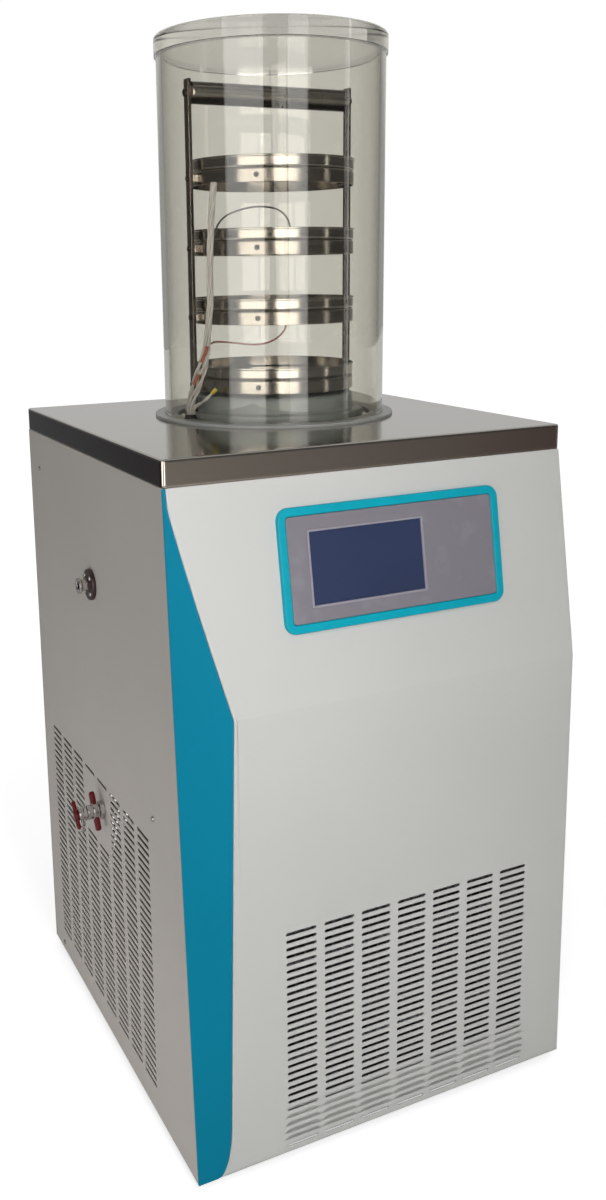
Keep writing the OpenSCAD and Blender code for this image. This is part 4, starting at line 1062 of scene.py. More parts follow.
@dataclass
class Cabinet(SubAssembly):
    """Sheet-metal cabinet: sides, back, folded front and coloured trim."""

    sheet: float = 1.5
    gap: float = 0.3
    bend: float = 2.6
    front_bend: float = 1.8
    edge: float = 0.4
    flange: float = 20
    lip: float = 14
    crease_z: float = 598
    crease_out: float = 46
    crease_r: float = 6
    trim_w: float = 61
    trim_foot_w: float = 44
    trim_bow: float = 1.12
    trim_least: float = 4
    trim_t: float = 2
    trim_wall: float = 1.5
    trim_soft: tuple[float, ...] = (0.2, 1.0, 2.2, 0.3, 0.3, 0.4)
    narrow_from: float = 0.536
    foot_r: float = 60
    foot_in: float = 16
    front_vents: Vents = Vents(7, 30, 28, 24)
    side_vents: Vents = Vents(8, 36, 16, 54)
    rear_vents: Vents = Vents(7, 24, 0, 70)
    blank: frozenset[tuple[int, int]] = frozenset((c, r) for c in (3, 4) for r in range(26, 35))

    def __post_init__(self) -> None:
        """Reads the places of the panels from the frame."""
        front, side, back = (Span.of(n) for n in ("front_fascia", "left_side_panel", "rear_panel"))
        self.x0, self.x1 = side.lo[0], Span.of("right_side_panel").hi[0]
        self.z0, self.z1 = front.lo[2], front.hi[2]
        self.rear, self.side_rear = back.hi[1], side.hi[1]
        self.front_top, self.foot = -back.hi[1], front.lo[1]
        self.crease_y = self.front_top - self.crease_out
        self.trim_top = self.z1 - self.edge
        self.toe = self.foot_r * (1 - np.cos(np.linspace(0, math.pi / 2, 9)))
        self.thin = edge_profile(self.edge, 0, self.sheet)

    def skin_y(self, z: Array) -> Array:
        """Y of the front skin: straight from crease to top and from foot to crease."""
        return np.interp(z, [self.z0, self.crease_z, self.z1], [self.foot, self.crease_y, self.front_top])

    def edge_y(self, z: Array) -> Array:
        """Y of the straight left edge."""
        return np.interp(z, [self.z0, self.z1], [self.foot, self.front_top])

    def trim_x(self, z: Array) -> Array:
        """X of the trim's inner edge at heights z.

        Above the crease its width is trim_w times a power of the share of the way
        down from the top; below it tapers to trim_foot_w, less a quarter circle
        at the toe.

        Args:
            z: heights.

        Returns:
            X at each height.
        """
        rise = np.clip((self.z1 - z) / (self.z1 - self.crease_z), 0, 1)
        fall = (self.crease_z - z) / (self.crease_z - self.z0)
        u = np.clip((self.foot_r - (z - self.z0)) / self.foot_r, 0, 1)
        down = self.trim_w + (self.trim_foot_w - self.trim_w) * fall - self.foot_in * (1 - np.sqrt(1 - u * u))
        up = rise**self.trim_bow * self.trim_w
        return self.x0 + np.maximum(np.where(z > self.crease_z, up, down), self.trim_least)

    def front_panel(self) -> Shell:
        """Folded front with its slots: u runs across and v up the folded profile.

        point(u, v) = (u, Y and Z of the fold line at v); the lines near -FAR
        follow the trim's edge instead of a fixed u.

        Returns:
            The panel, in place.
        """
        path = FoldLine([(self.foot, self.z0 + self.edge, 0), (self.crease_y, self.crease_z, self.crease_r),
                         (self.front_top, self.z1 - self.edge, 0)])
        top = path.at_length[-1]
        low = self.front_vents.low
        low, second, crease = np.interp([low, low + self.front_vents.pitch[1], self.crease_z], path.points[:, 1],
                                        path.at_length)
        slots = replace(self.front_vents, low=low, pitch=(self.front_vents.pitch[0], second - low))
        cells_u, cells_v = slots.lines()
        right = self.x1 - self.edge
        us = merged_lines([-FAR, 100 - FAR, cells_u[0] - slots.pitch[0]], cells_u, [right - 2, right])
        vs = flanked(merged_lines(path.at_length, cells_v, self.toe[1:], np.linspace(crease + 12, top - 14, 22)))

        def where(u: Array, v: Array, depth: float) -> Array:
            """Point of the front at (u, v), a depth inside its face."""
            z = np.minimum(path.at(v)[1], self.trim_top)
            left = self.trim_x(z) + self.gap + self.front_bend + (u + FAR) * NEAR
            return points(np.where(u < -FAR / 2, left, u), *path.at(v, depth))

        deep = edge_profile(self.front_bend, self.lip, self.sheet)
        return slotted_sheet(us, vs, where, self.sheet, (self.thin, self.thin, self.thin, deep), slots)

    def side_panel(self, sign: float, face_x: float, front: Callable[[Array], Array], inset: float,
                   blank: frozenset[tuple[int, int]]) -> Shell:
        """Slotted side with a flange at the front and one at the back.

        point(u, v) = (face_x, sign u, v); the lines near FAR follow the front edge.

        Args:
            sign: -1 on the left and 1 on the right.
            face_x: X of its face.
            front: gives the front edge's Y at heights.
            inset: distance of the flange's face from that edge.
            blank: slots that are left out.

        Returns:
            The closed panel.
        """
        slots = replace(self.side_vents, mid=sign * self.side_vents.mid, blank=blank)
        cells_u, cells_v = slots.lines()
        back = self.side_rear - self.bend
        us = merged_lines(sign * np.array([-FAR, 100 - FAR, back - 2, back]), cells_u)
        vs = flanked(merged_lines([self.z0 + self.edge], cells_v, [self.crease_z, self.z1 - self.edge]))

        def where(u: Array, v: Array, depth: float) -> Array:
            """Point of the side at (u, v), a depth inside its face."""
            edge = front(v) + inset + self.bend + (FAR - np.abs(u)) * NEAR
            return points(face_x - sign * depth, np.where(np.abs(u) > FAR / 2, edge, sign * u), v)

        deep = edge_profile(self.bend, self.flange, self.sheet)
        return slotted_sheet(us, vs, where, self.sheet, (self.thin, deep, self.thin, deep), slots)

    def rear_panel(self) -> Shell:
        """Flat slotted back: point(u, v) = (-u, rear, v).  The inlet's rim covers its opening.

        Returns:
            The panel, in place.
        """
        cells_u, cells_v = self.rear_vents.lines()
        half = self.x1 - self.edge
        us = flanked(merged_lines([-half], cells_u, [half]))
        vs = flanked(merged_lines([self.z0 + self.edge], cells_v, [self.z1 - self.edge]))
        return slotted_sheet(us, vs, lambda u, v, depth: points(-u, self.rear - depth, v), self.sheet,
                             (self.thin,) * 4, self.rear_vents)

    def trim(self) -> Shell:
        """Twisting strip from the straight left edge to the folded front.

        Each level section has six corners: the left edge and its back, the
        inner edge and the end of its return.  A corner c with neighbours at
        a and b on its sides, r away, becomes the curve
        (1-t)^2 a + 2t(1-t) c + t^2 b.

        Returns:
            The strip, in place.
        """
        toe, crease = self.z0 + self.toe, self.crease_z
        z = merged_lines(toe, np.linspace(toe[-1], crease - 8, 14)[1:], np.linspace(crease - 5, crease + 5, 7),
                         np.linspace(crease + 10, self.trim_top, 26))
        back, x1 = self.edge_y(z), self.trim_x(z)
        face = self.skin_y(z) + 0.5 * np.clip(1 - np.abs(z - crease) / self.crease_r, 0, 1) ** 2
        wall = np.minimum((x1 - self.x0) / 3, self.trim_wall)
        slant = (back - face) * wall / (x1 - self.x0)
        narrow = z > crease + self.narrow_from * (self.z1 - crease)
        lip = np.where(narrow, self.trim_t + 0.4, self.lip)
        corners = np.stack([points(*corner, z) for corner in (
            (self.x0, back + self.trim_t), (self.x0, back), (x1, face), (x1, face + lip), (x1 - wall, face + lip),
            (x1 - wall, face + self.trim_t + slant))], 1)
        to_a, to_b = (np.roll(corners, step, 1) - corners for step in (1, -1))
        size_a, size_b = (np.linalg.norm(to, axis=-1) for to in (to_a, to_b))
        r = np.minimum(self.trim_soft, 0.35 * np.minimum(size_a, size_b))
        a, b = (corners + to * (r / size)[..., None] for to, size in ((to_a, size_a), (to_b, size_b)))
        t = np.linspace(0, 1, 6)[:, None]
        curve = (1 - t) ** 2 * a[:, :, None] + 2 * t * (1 - t) * corners[:, :, None] + t**2 * b[:, :, None]
        return lofted(curve.reshape(len(z), -1, 3))

    def build(self, shop: Workshop) -> None:
        """Makes the panels and the trim; the right side's front edge follows the folded front.

        Args:
            shop: where the pieces are made.
        """
        left = self.side_panel(-1, self.x0, self.edge_y, self.trim_t * 1.2, self.blank)
        right = self.side_panel(1, self.x1, self.skin_y, self.sheet, frozenset())
        shop.make("front_panel", self.front_panel(), "front_coat", "front_fascia")
        shop.make("side_left", left, "side_coat", "left_side_panel")
        shop.make("side_right", right, "side_coat", "right_side_panel")
        shop.make("rear_sheet", self.rear_panel(), "side_coat", "rear_panel")
        shop.make("trim_strip", self.trim(), "trim_coat", "left_trim", angle=40)


@dataclass
class TopPlate(SubAssembly):
    """Stainless plate with folded skirts, a hem and the trap's opening."""

    sheet: float = 1.5
    bend: float = 3
    corner: float = 4
    hem: float = 13
    shelf: float = 25
    hole: float = 112

    def build(self, shop: Workshop) -> None:
        """Makes the plate: one closed profile carried round its outline and into the opening.

        Args:
            shop: where the pieces are made.
        """
        box, jar, t = Span.of("top_plate"), Span.of("trap_collar").mid[:2], self.sheet
        z0, z1 = box.lo[2], box.hi[2]
        profile = fillet([(self.shelf, z1 - t, 0), (t, z1 - t, self.bend - t), (t, z0 + t, 0.8),
                          (self.hem, z0 + t, 0.3), (self.hem, z0, 0.3), (0, z0, 2), (0, z1, self.bend),
                          (self.shelf, z1, 0)], 5, False)
        rings = rect_rings(box.size[:2], self.corner, profile, 6, [0.006, *np.linspace(0.04, 0.96, 24), 0.994])
        x, y = (jar + self.hole * unit(rings[-1, :, :2] - jar)).T
        shell = lofted(np.concatenate([rings, [points(x, y, z) for z in (z1, z1 - t)]]), True)
        shop.make("plate_sheet", shell, "stainless_plate", "top_plate")


@dataclass
class Console(SubAssembly):
    """Raised bezel, grey overlay, screen rim and screen on the sloping front."""

    tilt: float = math.atan2(46, 265)
    size: Pair = (310, 147)
    frame_w: float = 11
    rise: float = 5
    corner: float = 15
    screen: Pair = (154, 86)
    rim: float = 3
    gap: float = 0.3

    def build(self, shop: Workshop) -> None:
        """Makes the four pieces in the plane of the console.

        Args:
            shop: where the pieces are made.
        """
        normal = np.array([0, -math.cos(self.tilt), math.sin(self.tilt)])
        origin = Span.of("console_bezel").mid - normal * self.rise / 2
        aside = np.array([Span.of("touch_screen").mid[0] - origin[0], 0, 0])
        b, top, rim, face = self.frame_w, self.rise, self.rim, self.rise - 1.5
        hole, screen = np.array(self.screen) + 2 * rim, np.array(self.screen) - self.gap
        bezel = fillet([(b, 0, 0), (0, 0, 0), (0.6, top, 1.7), (b - 0.7, top, 1.5), (b, 1.5, 0)], 5, False)
        lip = fillet([(rim, 0, 0), (0, 0, 0), (0, face + 0.8, 0.6), (rim - 0.4, face + 0.8, 0.5), (rim, 2, 0)], 4,
                     False)
        film = rect_rings(np.array(self.size) - 2 * b - self.gap, 4.5,
                          [(0, 0), (0, face - 0.4), (0.12, face - 0.12), (0.4, face), (1.2, face)])
        window = rect_rings(hole, 1, [(-0.8, face), (0, face), (0, 0)]) + aside
        glass = slab(*screen, 0.8, -1.5, 2.5, 0.25).moved(aside)
        for name, shell, finish, node in (
                ("bezel_frame", lofted(rect_rings(self.size, self.corner, bezel, 10), True), "bezel_plastic",
                 "console_bezel"),
                ("overlay_sheet", lofted(np.concatenate([film, window]), True), "overlay_film", "control_overlay"),
                ("screen_rim", lofted(rect_rings(hole - self.gap, 1.6, lip, 5) + aside, True), "screen_rim",
                 "screen_frame"),
                ("screen_glass", glass, "screen_glass", "touch_screen")):
            shop.make(name, shell.placed(seat_at(origin, EAST, normal)), finish, node)


@dataclass
class BellJar(SubAssembly):
    """Clear jar: tube with its bonded lid disc."""

    wall: float = 8
    bond: float = 0.05

    def build(self, shop: Workshop) -> None:
        """Makes the tube and the lid from closed profiles turned about the jar's axis.

        Args:
            shop: where the pieces are made.
        """
        (r, z0, _, axis), (lip, z1, z2, _) = Span.of("bell_jar_tube").turn, Span.of("bell_jar_lid").turn
        inner, low = r - self.wall, z1 + self.bond
        tube_rows = [(inner, z0, 0.8), (r, z0, 0.8), (r, z1, 0.8), (inner, z1, 0.8)]
        lid_rows = [(0, low, 0), (lip, low, 0.8), (lip, z2, 2), (0, z2, 0)]
        shop.make("jar_tube", turned(tube_rows, 4, 192, axis), "clear_acrylic", "bell_jar_tube")
        shop.make("jar_lid", turned(lid_rows, 5, 192, axis), "lid_acrylic", "bell_jar_lid", slot="clear_acrylic")


@dataclass
class TrapMouth(SubAssembly):
    """Ring seal under the jar, two-step collar over the trap and the wiring's gland."""

    seal_in: float = 135
    groove: Pair = (144.5, 153.5)
    collar_hole: float = 55

    def build(self, shop: Workshop) -> None:
        """Makes the three turned pieces.

        Args:
            shop: where the pieces are made.
        """
        r, z0, z1, axis = Span.of("jar_gasket").turn
        (low, high), floor = self.groove, z1 - 1
        seal = [(self.seal_in, z0, 0.3), (r, z0, 0.4), (r, z1, 1.2), (high, z1, 0.3), (high, floor, 0.2),
                (low, floor, 0.2), (low, z1, 0.3), (self.seal_in, z1, 0.8)]
        shop.make("seal_ring", turned(seal, 4, 160, axis), "grey_silicone", "jar_gasket")
        r, z0, z1, axis = Span.of("trap_collar").turn
        step, neck = z0 + 9, r - 14
        collar = [(self.collar_hole, z0, 0.5), (r, z0, 1.2), (r, step, 2.5), (neck, step, 3), (neck - 1.5, z1, 7),
                  (self.collar_hole, z1, 2)]
        shop.make("collar_ring", turned(collar, 6, 144, axis), "collar_plastic", "trap_collar")
        r, z0, z1, axis = Span.of("harness_grommet").turn
        waist = z0 + 4
        gland = [(0, z0, 0), (r, z0, 0.8), (r, waist - 0.2, 0.1), (r * 0.8, waist, 0.1), (r * 0.8, waist + 1.6, 0.1),
                 (r, waist + 1.8, 0.1), (r, waist + 4, 1.4), (r * 0.68, z1, 1.2), (0, z1, 0)]
        shop.make("gland_boot", turned(gland, 4, 64, axis), "black_rubber", "harness_grommet")


@dataclass
class Rack(SubAssembly):
    """Two flat posts, a crossbar, four heated shelves and their sample trays."""

    wall: float = 1.2
    plate: float = 3
    levels: tuple[int, ...] = (1, 2, 3, 4)
    heading: float = -127  # compass angle of the screw on each shelf's skirt, from X

    def shelf(self, box: Span, r: float) -> Shell:
        """Shelf of radius r: a plate whose rim is turned down, with a lug at each post.

        Args:
            box: box of the CAD shelf.
            r: radius of its plate.

        Returns:
            The shelf, in place.
        """
        z0, z1, inner = box.lo[2], box.hi[2], r - self.wall
        rows = [(0, z1 - self.plate, 0), (inner, z1 - self.plate, 1), (inner, z0 + 0.6, 0), (inner, z0, 0.3),
                (r, z0, 0.4), (r, z1, 2.4), (0, z1, 0)]
        reach = box.size[0] / 2 - r + 2
        lugs = slab(reach, 14, 1, -5, 5, 0.8, 3).copied(np.outer((-1, 1), EAST) * (box.size[0] - reach) / 2)
        return turned(rows, 5, 160, box.mid[:2]) + lugs.moved(box.mid)

    def tray(self, box: Span) -> Shell:
        """Tray: a pressed pan with a round foot and a rolled rim.

        Args:
            box: box of the CAD tray.

        Returns:
            The tray, in place.
        """
        (r, z0, z1, axis), t = box.turn, self.wall
        wall = r - 0.9
        rows = [(0, z0, 0), (wall, z0, 3.4), (wall, z1 - 2.6, 0.6), (r, z1 - 2.2, 0.5), (r, z1, 0.9),
                (r - 2.1, z1, 0.5), (wall - t, z1 - 1, 0.5), (wall - t, z0 + t, 2.2), (0, z0 + t, 0)]
        return turned(rows, 5, 160, axis)

    def build(self, shop: Workshop) -> None:
        """Makes the rack, level by level from the top, and its screws.

        Args:
            shop: where the pieces are made.
        """
        for n in self.levels:
            tray = Span.of(f"tray_{n}")
            shelf = self.shelf(Span.of(f"shelf_{n}"), tray.size[0] / 2 - 1)
            shop.make(f"pan_{n}", self.tray(tray), "tray_steel", f"tray_{n}")
            shop.make(f"shelf_plate_{n}", shelf, "shelf_steel", f"shelf_{n}")
        bar = Span.of("rack_crossbar")
        half, r = bar.size[0] / 2, bar.size[2] / 2
        rod = turned([(0, -half, 0), (r, -half, 1.2), (r, half, 1.2), (0, half, 0)], 4, 96)
        shop.make("crossbar_rod", rod.placed(seat_at(bar.mid, UP, EAST)), "bar_steel_painted_reflection", "rack_crossbar",
                  slot="rack_steel")
        posts = {side: Span.of(f"rack_post_{side}") for side in ("left", "right")}
        for side, post in posts.items():
            strip = slab(*post.size[:2], 1.1, post.lo[2], post.hi[2], 0.8, 4).moved((*post.mid[:2], 0))
            shop.make(f"post_strip_{side}", strip, "rack_steel", f"rack_post_{side}")
        shop.make("rack_heads", self.screws(posts, bar), "dark_screw", "rack_screws")

    def screws(self, posts: dict[str, Span], bar: Span) -> Shell:
        """Button heads outside the posts, and one on the skirt of each shelf.

        Args:
            posts: boxes of the left and right posts.
            bar: box of the crossbar.

        Returns:
            All of them.
        """
        turn = math.radians(self.heading)
        out, y = np.array([math.cos(turn), math.sin(turn), 0.0]), posts["left"].mid[1]
        outside = ((posts["left"].lo[0], WEST), (posts["right"].hi[0], EAST))
        shelves = [Span.of(f"shelf_{n}") for n in self.levels]
        heads = [button_screw(6, 3).placed(seat_at((x, y, bar.mid[2]), UP, way)) for x, way in outside]
        for shelf in shelves:
            heads += [button_screw(4, 2.4).placed(seat_at((x, y, shelf.mid[2]), UP, way)) for x, way in outside]
            heads.append(button_screw(3.5, 3).placed(seat_at(shelf.mid + out * (shelf.size[1] / 2 - 0.2), UP, out)))
        return reduce(add, heads)


@dataclass(frozen=True)
class Run:
    """One cord: its route's marks, its radius and the parts of each span."""

    marks: tuple[Triple, ...]
    radius: float
    steps: int = 6

    @property
    def path(self) -> Array:
        """Points along the middle of the cord, on a Catmull-Rom curve through the marks.

        With a, b, c, d four marks in a row, the span from b to c is
        0.5 (2b + (c-a) t + (2a-5b+4c-d) t^2 + (3b-a-3c+d) t^3).

        Returns:
            Points, a row each.
        """
        q = np.array([self.marks[0], *self.marks, self.marks[-1]], float)
        a, b, c, d = q[:-3, None], q[1:-2, None], q[2:-1, None], q[3:, None]
        t = (np.arange(self.steps) / self.steps)[None, :, None]
        s = 0.5 * (2 * b + (c - a) * t + (2 * a - 5 * b + 4 * c - d) * t**2 + (3 * b - a - 3 * c + d) * t**3)
        return np.concatenate([s.reshape(-1, 3), q[-1:]])


@dataclass
class Wiring(SubAssembly):
    """Bundle of white leads inside the jar, its pigtail and plug, and two sensor leads."""

    trunk: Run = Run((
        (-92, -22, 1204), (-95, -22, 1180), (-97, -21, 1146), (-99, -20, 1100), (-99, -19, 1055), (-101, -16, 1020),
        (-104, -12, 985), (-111, -6, 955), (-117, 3, 928), (-118.9, 6, 914), (-118.9, 6, 904.3)), 4.46)
    pigtail: Run = Run((
        (-117.2, 0, 904.5), (-116.5, -1.5, 911), (-115, -4, 916), (-110, -10, 921), (-104, -17, 928),
        (-100, -20, 933)), 2.2)
    probe: Run = Run((
        (-91, -20, 1138), (-86, -19, 1152), (-72, -18, 1164), (-50, -26, 1172), (-30, -34, 1174), (-12, -42, 1170),
        (-2, -48, 1160), (2, -50, 1148), (3, -50, 1141.2), (3, -50, 1132.5)), 1.2)
    lead: Run = Run((
        (-97, -16, 999), (-88, -13, 1001), (-60, -16, 998), (-40, -26, 996), (-26, -34, 998), (-14, -40, 1004),
        (-4, -43, 1014), (-1, -43, 1024), (-1, -43, 1031), (-1, -43, 1037.7)), 1.2)
    strand_r: float = 1.75
    pair_r: float = 1.15
    sleeve: float = 0.35
    marked: tuple[tuple[int, float, float], ...] = ((4, 0.57, 0.65), (3, 0.68, 0.75))

    def strands(self, run: Run, count: int, r: float, twist: float, loose: float) -> list[Array]:
        """Ways of the twisted strands round a cord's path.

        Strand k lies at path_i + o_i (cos q n + sin q b), with
        q = 2 pi (k / count + twist s_i), s_i the length so far, n and b two
        directions square to the path, and
        o_i = (R - r)(1 + loose e^(-((s_i/L - 0.82)/0.11)^2)).

        Args:
            run: the cord.
            count: number of strands.
            r: radius of a strand.
            twist: turns in a millimetre.
            loose: how far the strands stand off before the lower end, as a share.

        Returns:
            One path for each strand.
        """
        path = run.path
        (n, b), s = crosswise(path), lengths(path)
        out = (run.radius - r) * (1 + loose * np.exp(-(((s / s[-1] - 0.82) / 0.11) ** 2)))[:, None]
        turns = [(2 * math.pi * (k / count + twist * s))[:, None] for k in range(count)]
        return [path + out * (np.cos(q) * n + np.sin(q) * b) for q in turns]

    def build(self, shop: Workshop) -> None:
        """Args:
            shop: where the pieces are made.
        """

        def wire(name: str, ways: list[Array], r: float, sides: int, *place: str, **slot: str) -> bpy.types.Object:
            """One tube of radius r along each of the ways, as one piece."""
            return shop.make(name, reduce(add, (tube(way, r, sides) for way in ways)), *place, **slot)

        ways = self.strands(self.trunk, 5, self.strand_r, 0.007, 1.15)
        pair = self.strands(self.pigtail, 2, self.pair_r, 0.03, 0.0)
        count = len(ways[0])
        sleeved = [ways[k][int(count * low):int(count * high)] for k, low, high in self.marked]
        trunk = wire("wire_bundle", ways, self.strand_r, 10, "wire_white", "harness_trunk")
        bands = wire("lead_sleeves", sleeved, self.strand_r + self.sleeve, 10, "wire_orange", slot="wire_pink")
        pigtail = wire("pigtail_pair", pair, self.pair_r, 10, "wire_white", "harness_trunk")
        plug = shop.make("plug_block", self.plug(), "plug_yellow", "harness_plug")
        probe = wire("probe_wire", [self.probe.path], self.probe.radius, 12, "wire_grey", "probe_lead")
        lead = wire("shelf_wire", [self.lead.path], self.lead.radius, 12, "wire_pink", "shelf_lead")
        for piece, run, step, far, extra in (
                (trunk, self.trunk, -1, "object", [bands]), (pigtail, self.pigtail, 1, "plug", [plug]),
                (probe, self.probe, 1, "object", []), (lead, self.lead, 1, "object", [])):
            np.round(np.multiply(run.marks[::step][0], MM), 6).tolist()
            lengths(run.path)[-1] * MM
            (run.path[::step] * MM).tolist()
            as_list(extra)

    def plug(self) -> Shell:
        """Small two-way connector: round collar, stepped block and latch rib.

        Returns:
            The plug, in place.
        """
        before, end = np.array(self.pigtail.marks[-2:])
        collar = turned([(0, 0.3, 0), (2.6, 0.3, 0.5), (2.6, 3.3, 0.3), (0, 3.3, 0)], 3, 32)
        rib = slab(2, 0.6, 0.2, 4.2, 8.2, 0.15, 2).moved((0, 1.95, 0))
        return (collar + slab(5, 3.6, 0.6, 3.3, 9.3, 0.4, 3) + rib).placed(seat_at(end, UP, end - before))


@dataclass
class VacuumPort(SubAssembly):
    """Bolted round flange with its pipe, clamp ferrule and four screws."""

    bore: float = 6
    pipe_r: float = 8
    rim_r: float = 11
    bead: float = 3
    screw_at: float = 15
    flange_t: float = 5

    def build(self, shop: Workshop) -> None:
        """Makes the flange, the pipe and the screws about the port's axis, which points to -X.

        Args:
            shop: where the pieces are made.
        """
        box, wall = Span.of("vacuum_port"), Span.of("left_side_panel").lo[0]
        seat = seat_at((wall, *box.mid[1:]), UP, WEST)
        r, end, thick = box.size[1] / 2, wall - box.lo[0], self.flange_t
        flange = [(self.pipe_r, 0, 0), (r, 0, 0.6), (r, thick, 1.4), (self.pipe_r + 3, thick, 2),
                  (self.pipe_r, thick + 2.5, 0)]
        pipe = [(self.bore, -7, 0.3), (self.pipe_r, -7, 0.3), (self.pipe_r, end - self.bead - 1.5, 1),
                (self.rim_r, end - self.bead, 0.5), (self.rim_r, end, 0.5), (self.bore + 1.2, end, 0.3),
                (self.bore, end - 1.2, 0.3)]
        heads = button_screw(3, 2.2).copied(polar(self.screw_at, np.radians([45, 135, 225, 315]), thick))
        shop.make("port_flange", turned(flange, 5, 96).placed(seat), "flange_bronze", "vacuum_port",
                  slot="plated_fitting", angle=40)
        shop.make("port_pipe", turned(pipe, 4, 80).placed(seat), "plated_fitting", angle=40)
        shop.make("port_heads", heads.placed(seat), "plated_screw", "vacuum_port_screws")


@dataclass
class Wing:
    """Handle with a round middle and two opposite rounded wings.

    Args:
        hub: radius of the middle.
        half: half width of a wing.
        reach: distance from the middle to the end of a wing.
        tilt: degrees from upright.
        sharp: how sharply the wings leave the middle.
    """

    hub: float
    half: float
    reach: float
    tilt: float
    sharp: float = 9.0

    def outline(self) -> Array:
        """Closed outline with the wings along local Y.

        The distance from the middle is (hub^p + wing^p)^(1/p), where wing is
        the way out of a capsule: half / |sin q| through its side, and
        c cos q + sqrt(half^2 - c^2 sin^2 q) through its end, with q the angle
        off the wing's own line and c = reach - half.

        Returns:
            Its points, a row each.
        """
        a, c = around(240), self.reach - self.half
        q = np.abs((a % math.pi) - math.pi / 2)
        by_side = self.half / np.maximum(np.sin(q), 1e-6)
        by_end = c * np.cos(q) + np.sqrt(np.maximum(self.half**2 - (c * np.sin(q)) ** 2, 0))
        wing = np.where(by_side * np.cos(q) < c, by_side, by_end)
        return polar((self.hub**self.sharp + wing**self.sharp) ** (1 / self.sharp), a, 0)[:, :2]

    def handle(self, thick: float, bore: float) -> Shell:
        """Fat rounded handle with a raised hub: the outline's rings, then those of hub and bore.

        Args:
            thick: its thickness.
            bore: radius of its hole.

        Returns:
            The closed surface, its back at z = 0, turned by tilt.
        """
        far = 10 * self.reach
        soft = fillet([(far, 0, 0), (0, 0, 1.6), (0, thick, 2.4), (far, thick, 0)], 5, False)[1:-1]
        outline = self.outline()
        a, top = np.arctan2(outline[:, 1], outline[:, 0]), thick + 0.3
        hub = [polar(self.hub * share, a, z) for share, z in ((0.82, thick), (0.8, thick + 0.2), (0.74, top))]
        hole = [polar(bore, a, z) for z in (top, 0.0)]
        way = math.radians(self.tilt - 90)
        spin = seat_at((0, 0, 0), (math.cos(way), math.sin(way), 0), UP)
        return lofted(np.concatenate([offset_rings(outline, soft), hub + hole]), True).placed(spin)


@dataclass
class DrainValves(SubAssembly):
    """Drain bulkhead, straight cock and angle cock with their winged handles."""

    bore: float = 5
    cock_r: float = 8
    nut_r: float = 12.7
    cock_nut_r: float = 10.5
    drain_wing: Wing = field(default_factory=lambda: Wing(10, 5, 27, 32))
    air_wing: Wing = field(default_factory=lambda: Wing(5.25, 3.5, 20, 40))
    air_t: float = 5

    def build(self, shop: Workshop) -> None:
        """Makes the fittings along the drain's axis, which points to -X.

        Args:
            shop: where the pieces are made.
        """
        nut, cock, lever = (Span.of(n) for n in ("drain_bulkhead", "drain_cock", "drain_handle"))
        wall, (y, z) = Span.of("left_side_panel").lo[0], cock.mid[1:]
        r, bore, out, flat = self.cock_r, self.bore, wall - nut.lo[0], self.nut_r * COS_30
        stem = turned([(bore, -14, 0.5), (r, -14, 0.5), (r, out, 0.5), (bore, out, 0.5)], 3, 64)
        nuts = hex_nut(flat, out, r) + hex_nut(flat, 5, r).moved((0, 0, -6.5))
        shop.make("bulkhead_nut", (stem + nuts).placed(seat_at((wall, y, z), UP, WEST)), "plated_fitting",
                  "drain_bulkhead")
        end = cock.size[0]
        barrel = [(bore, 0, 0.3), (r, 0, 0.4), (r, 8.8, 0.3), (r + 2, 8.8, 0.6), (r + 2, end - 1.5, 0.8), (r, end, 0.5),
                  (bore, end, 0.3)]
        shop.make("cock_barrel", turned(barrel, 4, 72).placed(seat_at((cock.hi[0], y, z), UP, WEST)),
                  "plated_fitting", "drain_cock")
        thick, seat = lever.size[0], seat_at((lever.hi[0], y, z), UP, WEST)
        shop.make("drain_wings", self.drain_wing.handle(thick, r + 0.05).placed(seat), "handle_red", "drain_handle",
                  Body.DRAIN_LEVER, angle=50)
        hole, rim, low, high = r + 0.04, r + 3, -0.4, thick + 0.4
        boss = turned([(hole, low, 0.1), (rim, low, 0.5), (rim, high, 1), (hole, high, 0.3)], 4, 64)
        shop.make("drain_boss", boss.placed(seat), "plated_fitting", body=Body.DRAIN_LEVER)
        self.angle_cock(shop, y, z)

    def angle_cock(self, shop: Workshop, y: float, z: float) -> None:
        """Makes the angle cock with its barb and its small handle.

        Args:
            shop: where the pieces are made.
            y: Y of the drain's axis.
            z: Z of the drain's axis.
        """
        air, small, r = Span.of("air_cock"), Span.of("air_handle").lo[0], self.cock_r
        end = air.size[0]
        barrel = turned([(0, 0, 0), (r, 0, 0.4), (r, end, 1.2), (3.1, end, 0.3), (3.1, end - 4, 0), (0, end - 4, 0)],
                        4, 64)
        barb = turned([(2, 0, 0.3), (3, 0, 0.4), (4.3, 4, 0.3), (3.4, 4.6, 0.2), (4.6, 9, 0.3), (3.6, 9.8, 0.2),
                       (3.6, 21, 0), (2, 21, 0)], 3, 48)
        body = (barrel + hex_nut(self.cock_nut_r * COS_30, 5, r - 0.5)).placed(seat_at((air.hi[0], y, z), UP, WEST))
        shop.make("angle_cock", body + barb.moved((air.lo[0] + 5, y, air.lo[2])), "plated_fitting", "air_cock")
        pin = turned([(0, -3.5, 0), (2.95, -3.5, 0.4), (2.95, 1, 0), (0, 1, 0)], 3, 40)
        cap = turned([(0, -0.1, 0), (2.6, -0.1, 0), (2.6, 0.35, 0.2), (0, 0.5, 0)], 3, 32)
        handle = (self.air_wing.handle(self.air_t, 0.4) + pin).placed(seat_at((small + self.air_t, y, z), UP, WEST))
        shop.make("air_wings", handle + cap.placed(seat_at((small + 0.2, y, z), UP, WEST)), "handle_red",
                  "air_handle", Body.AIR_LEVER, angle=50)


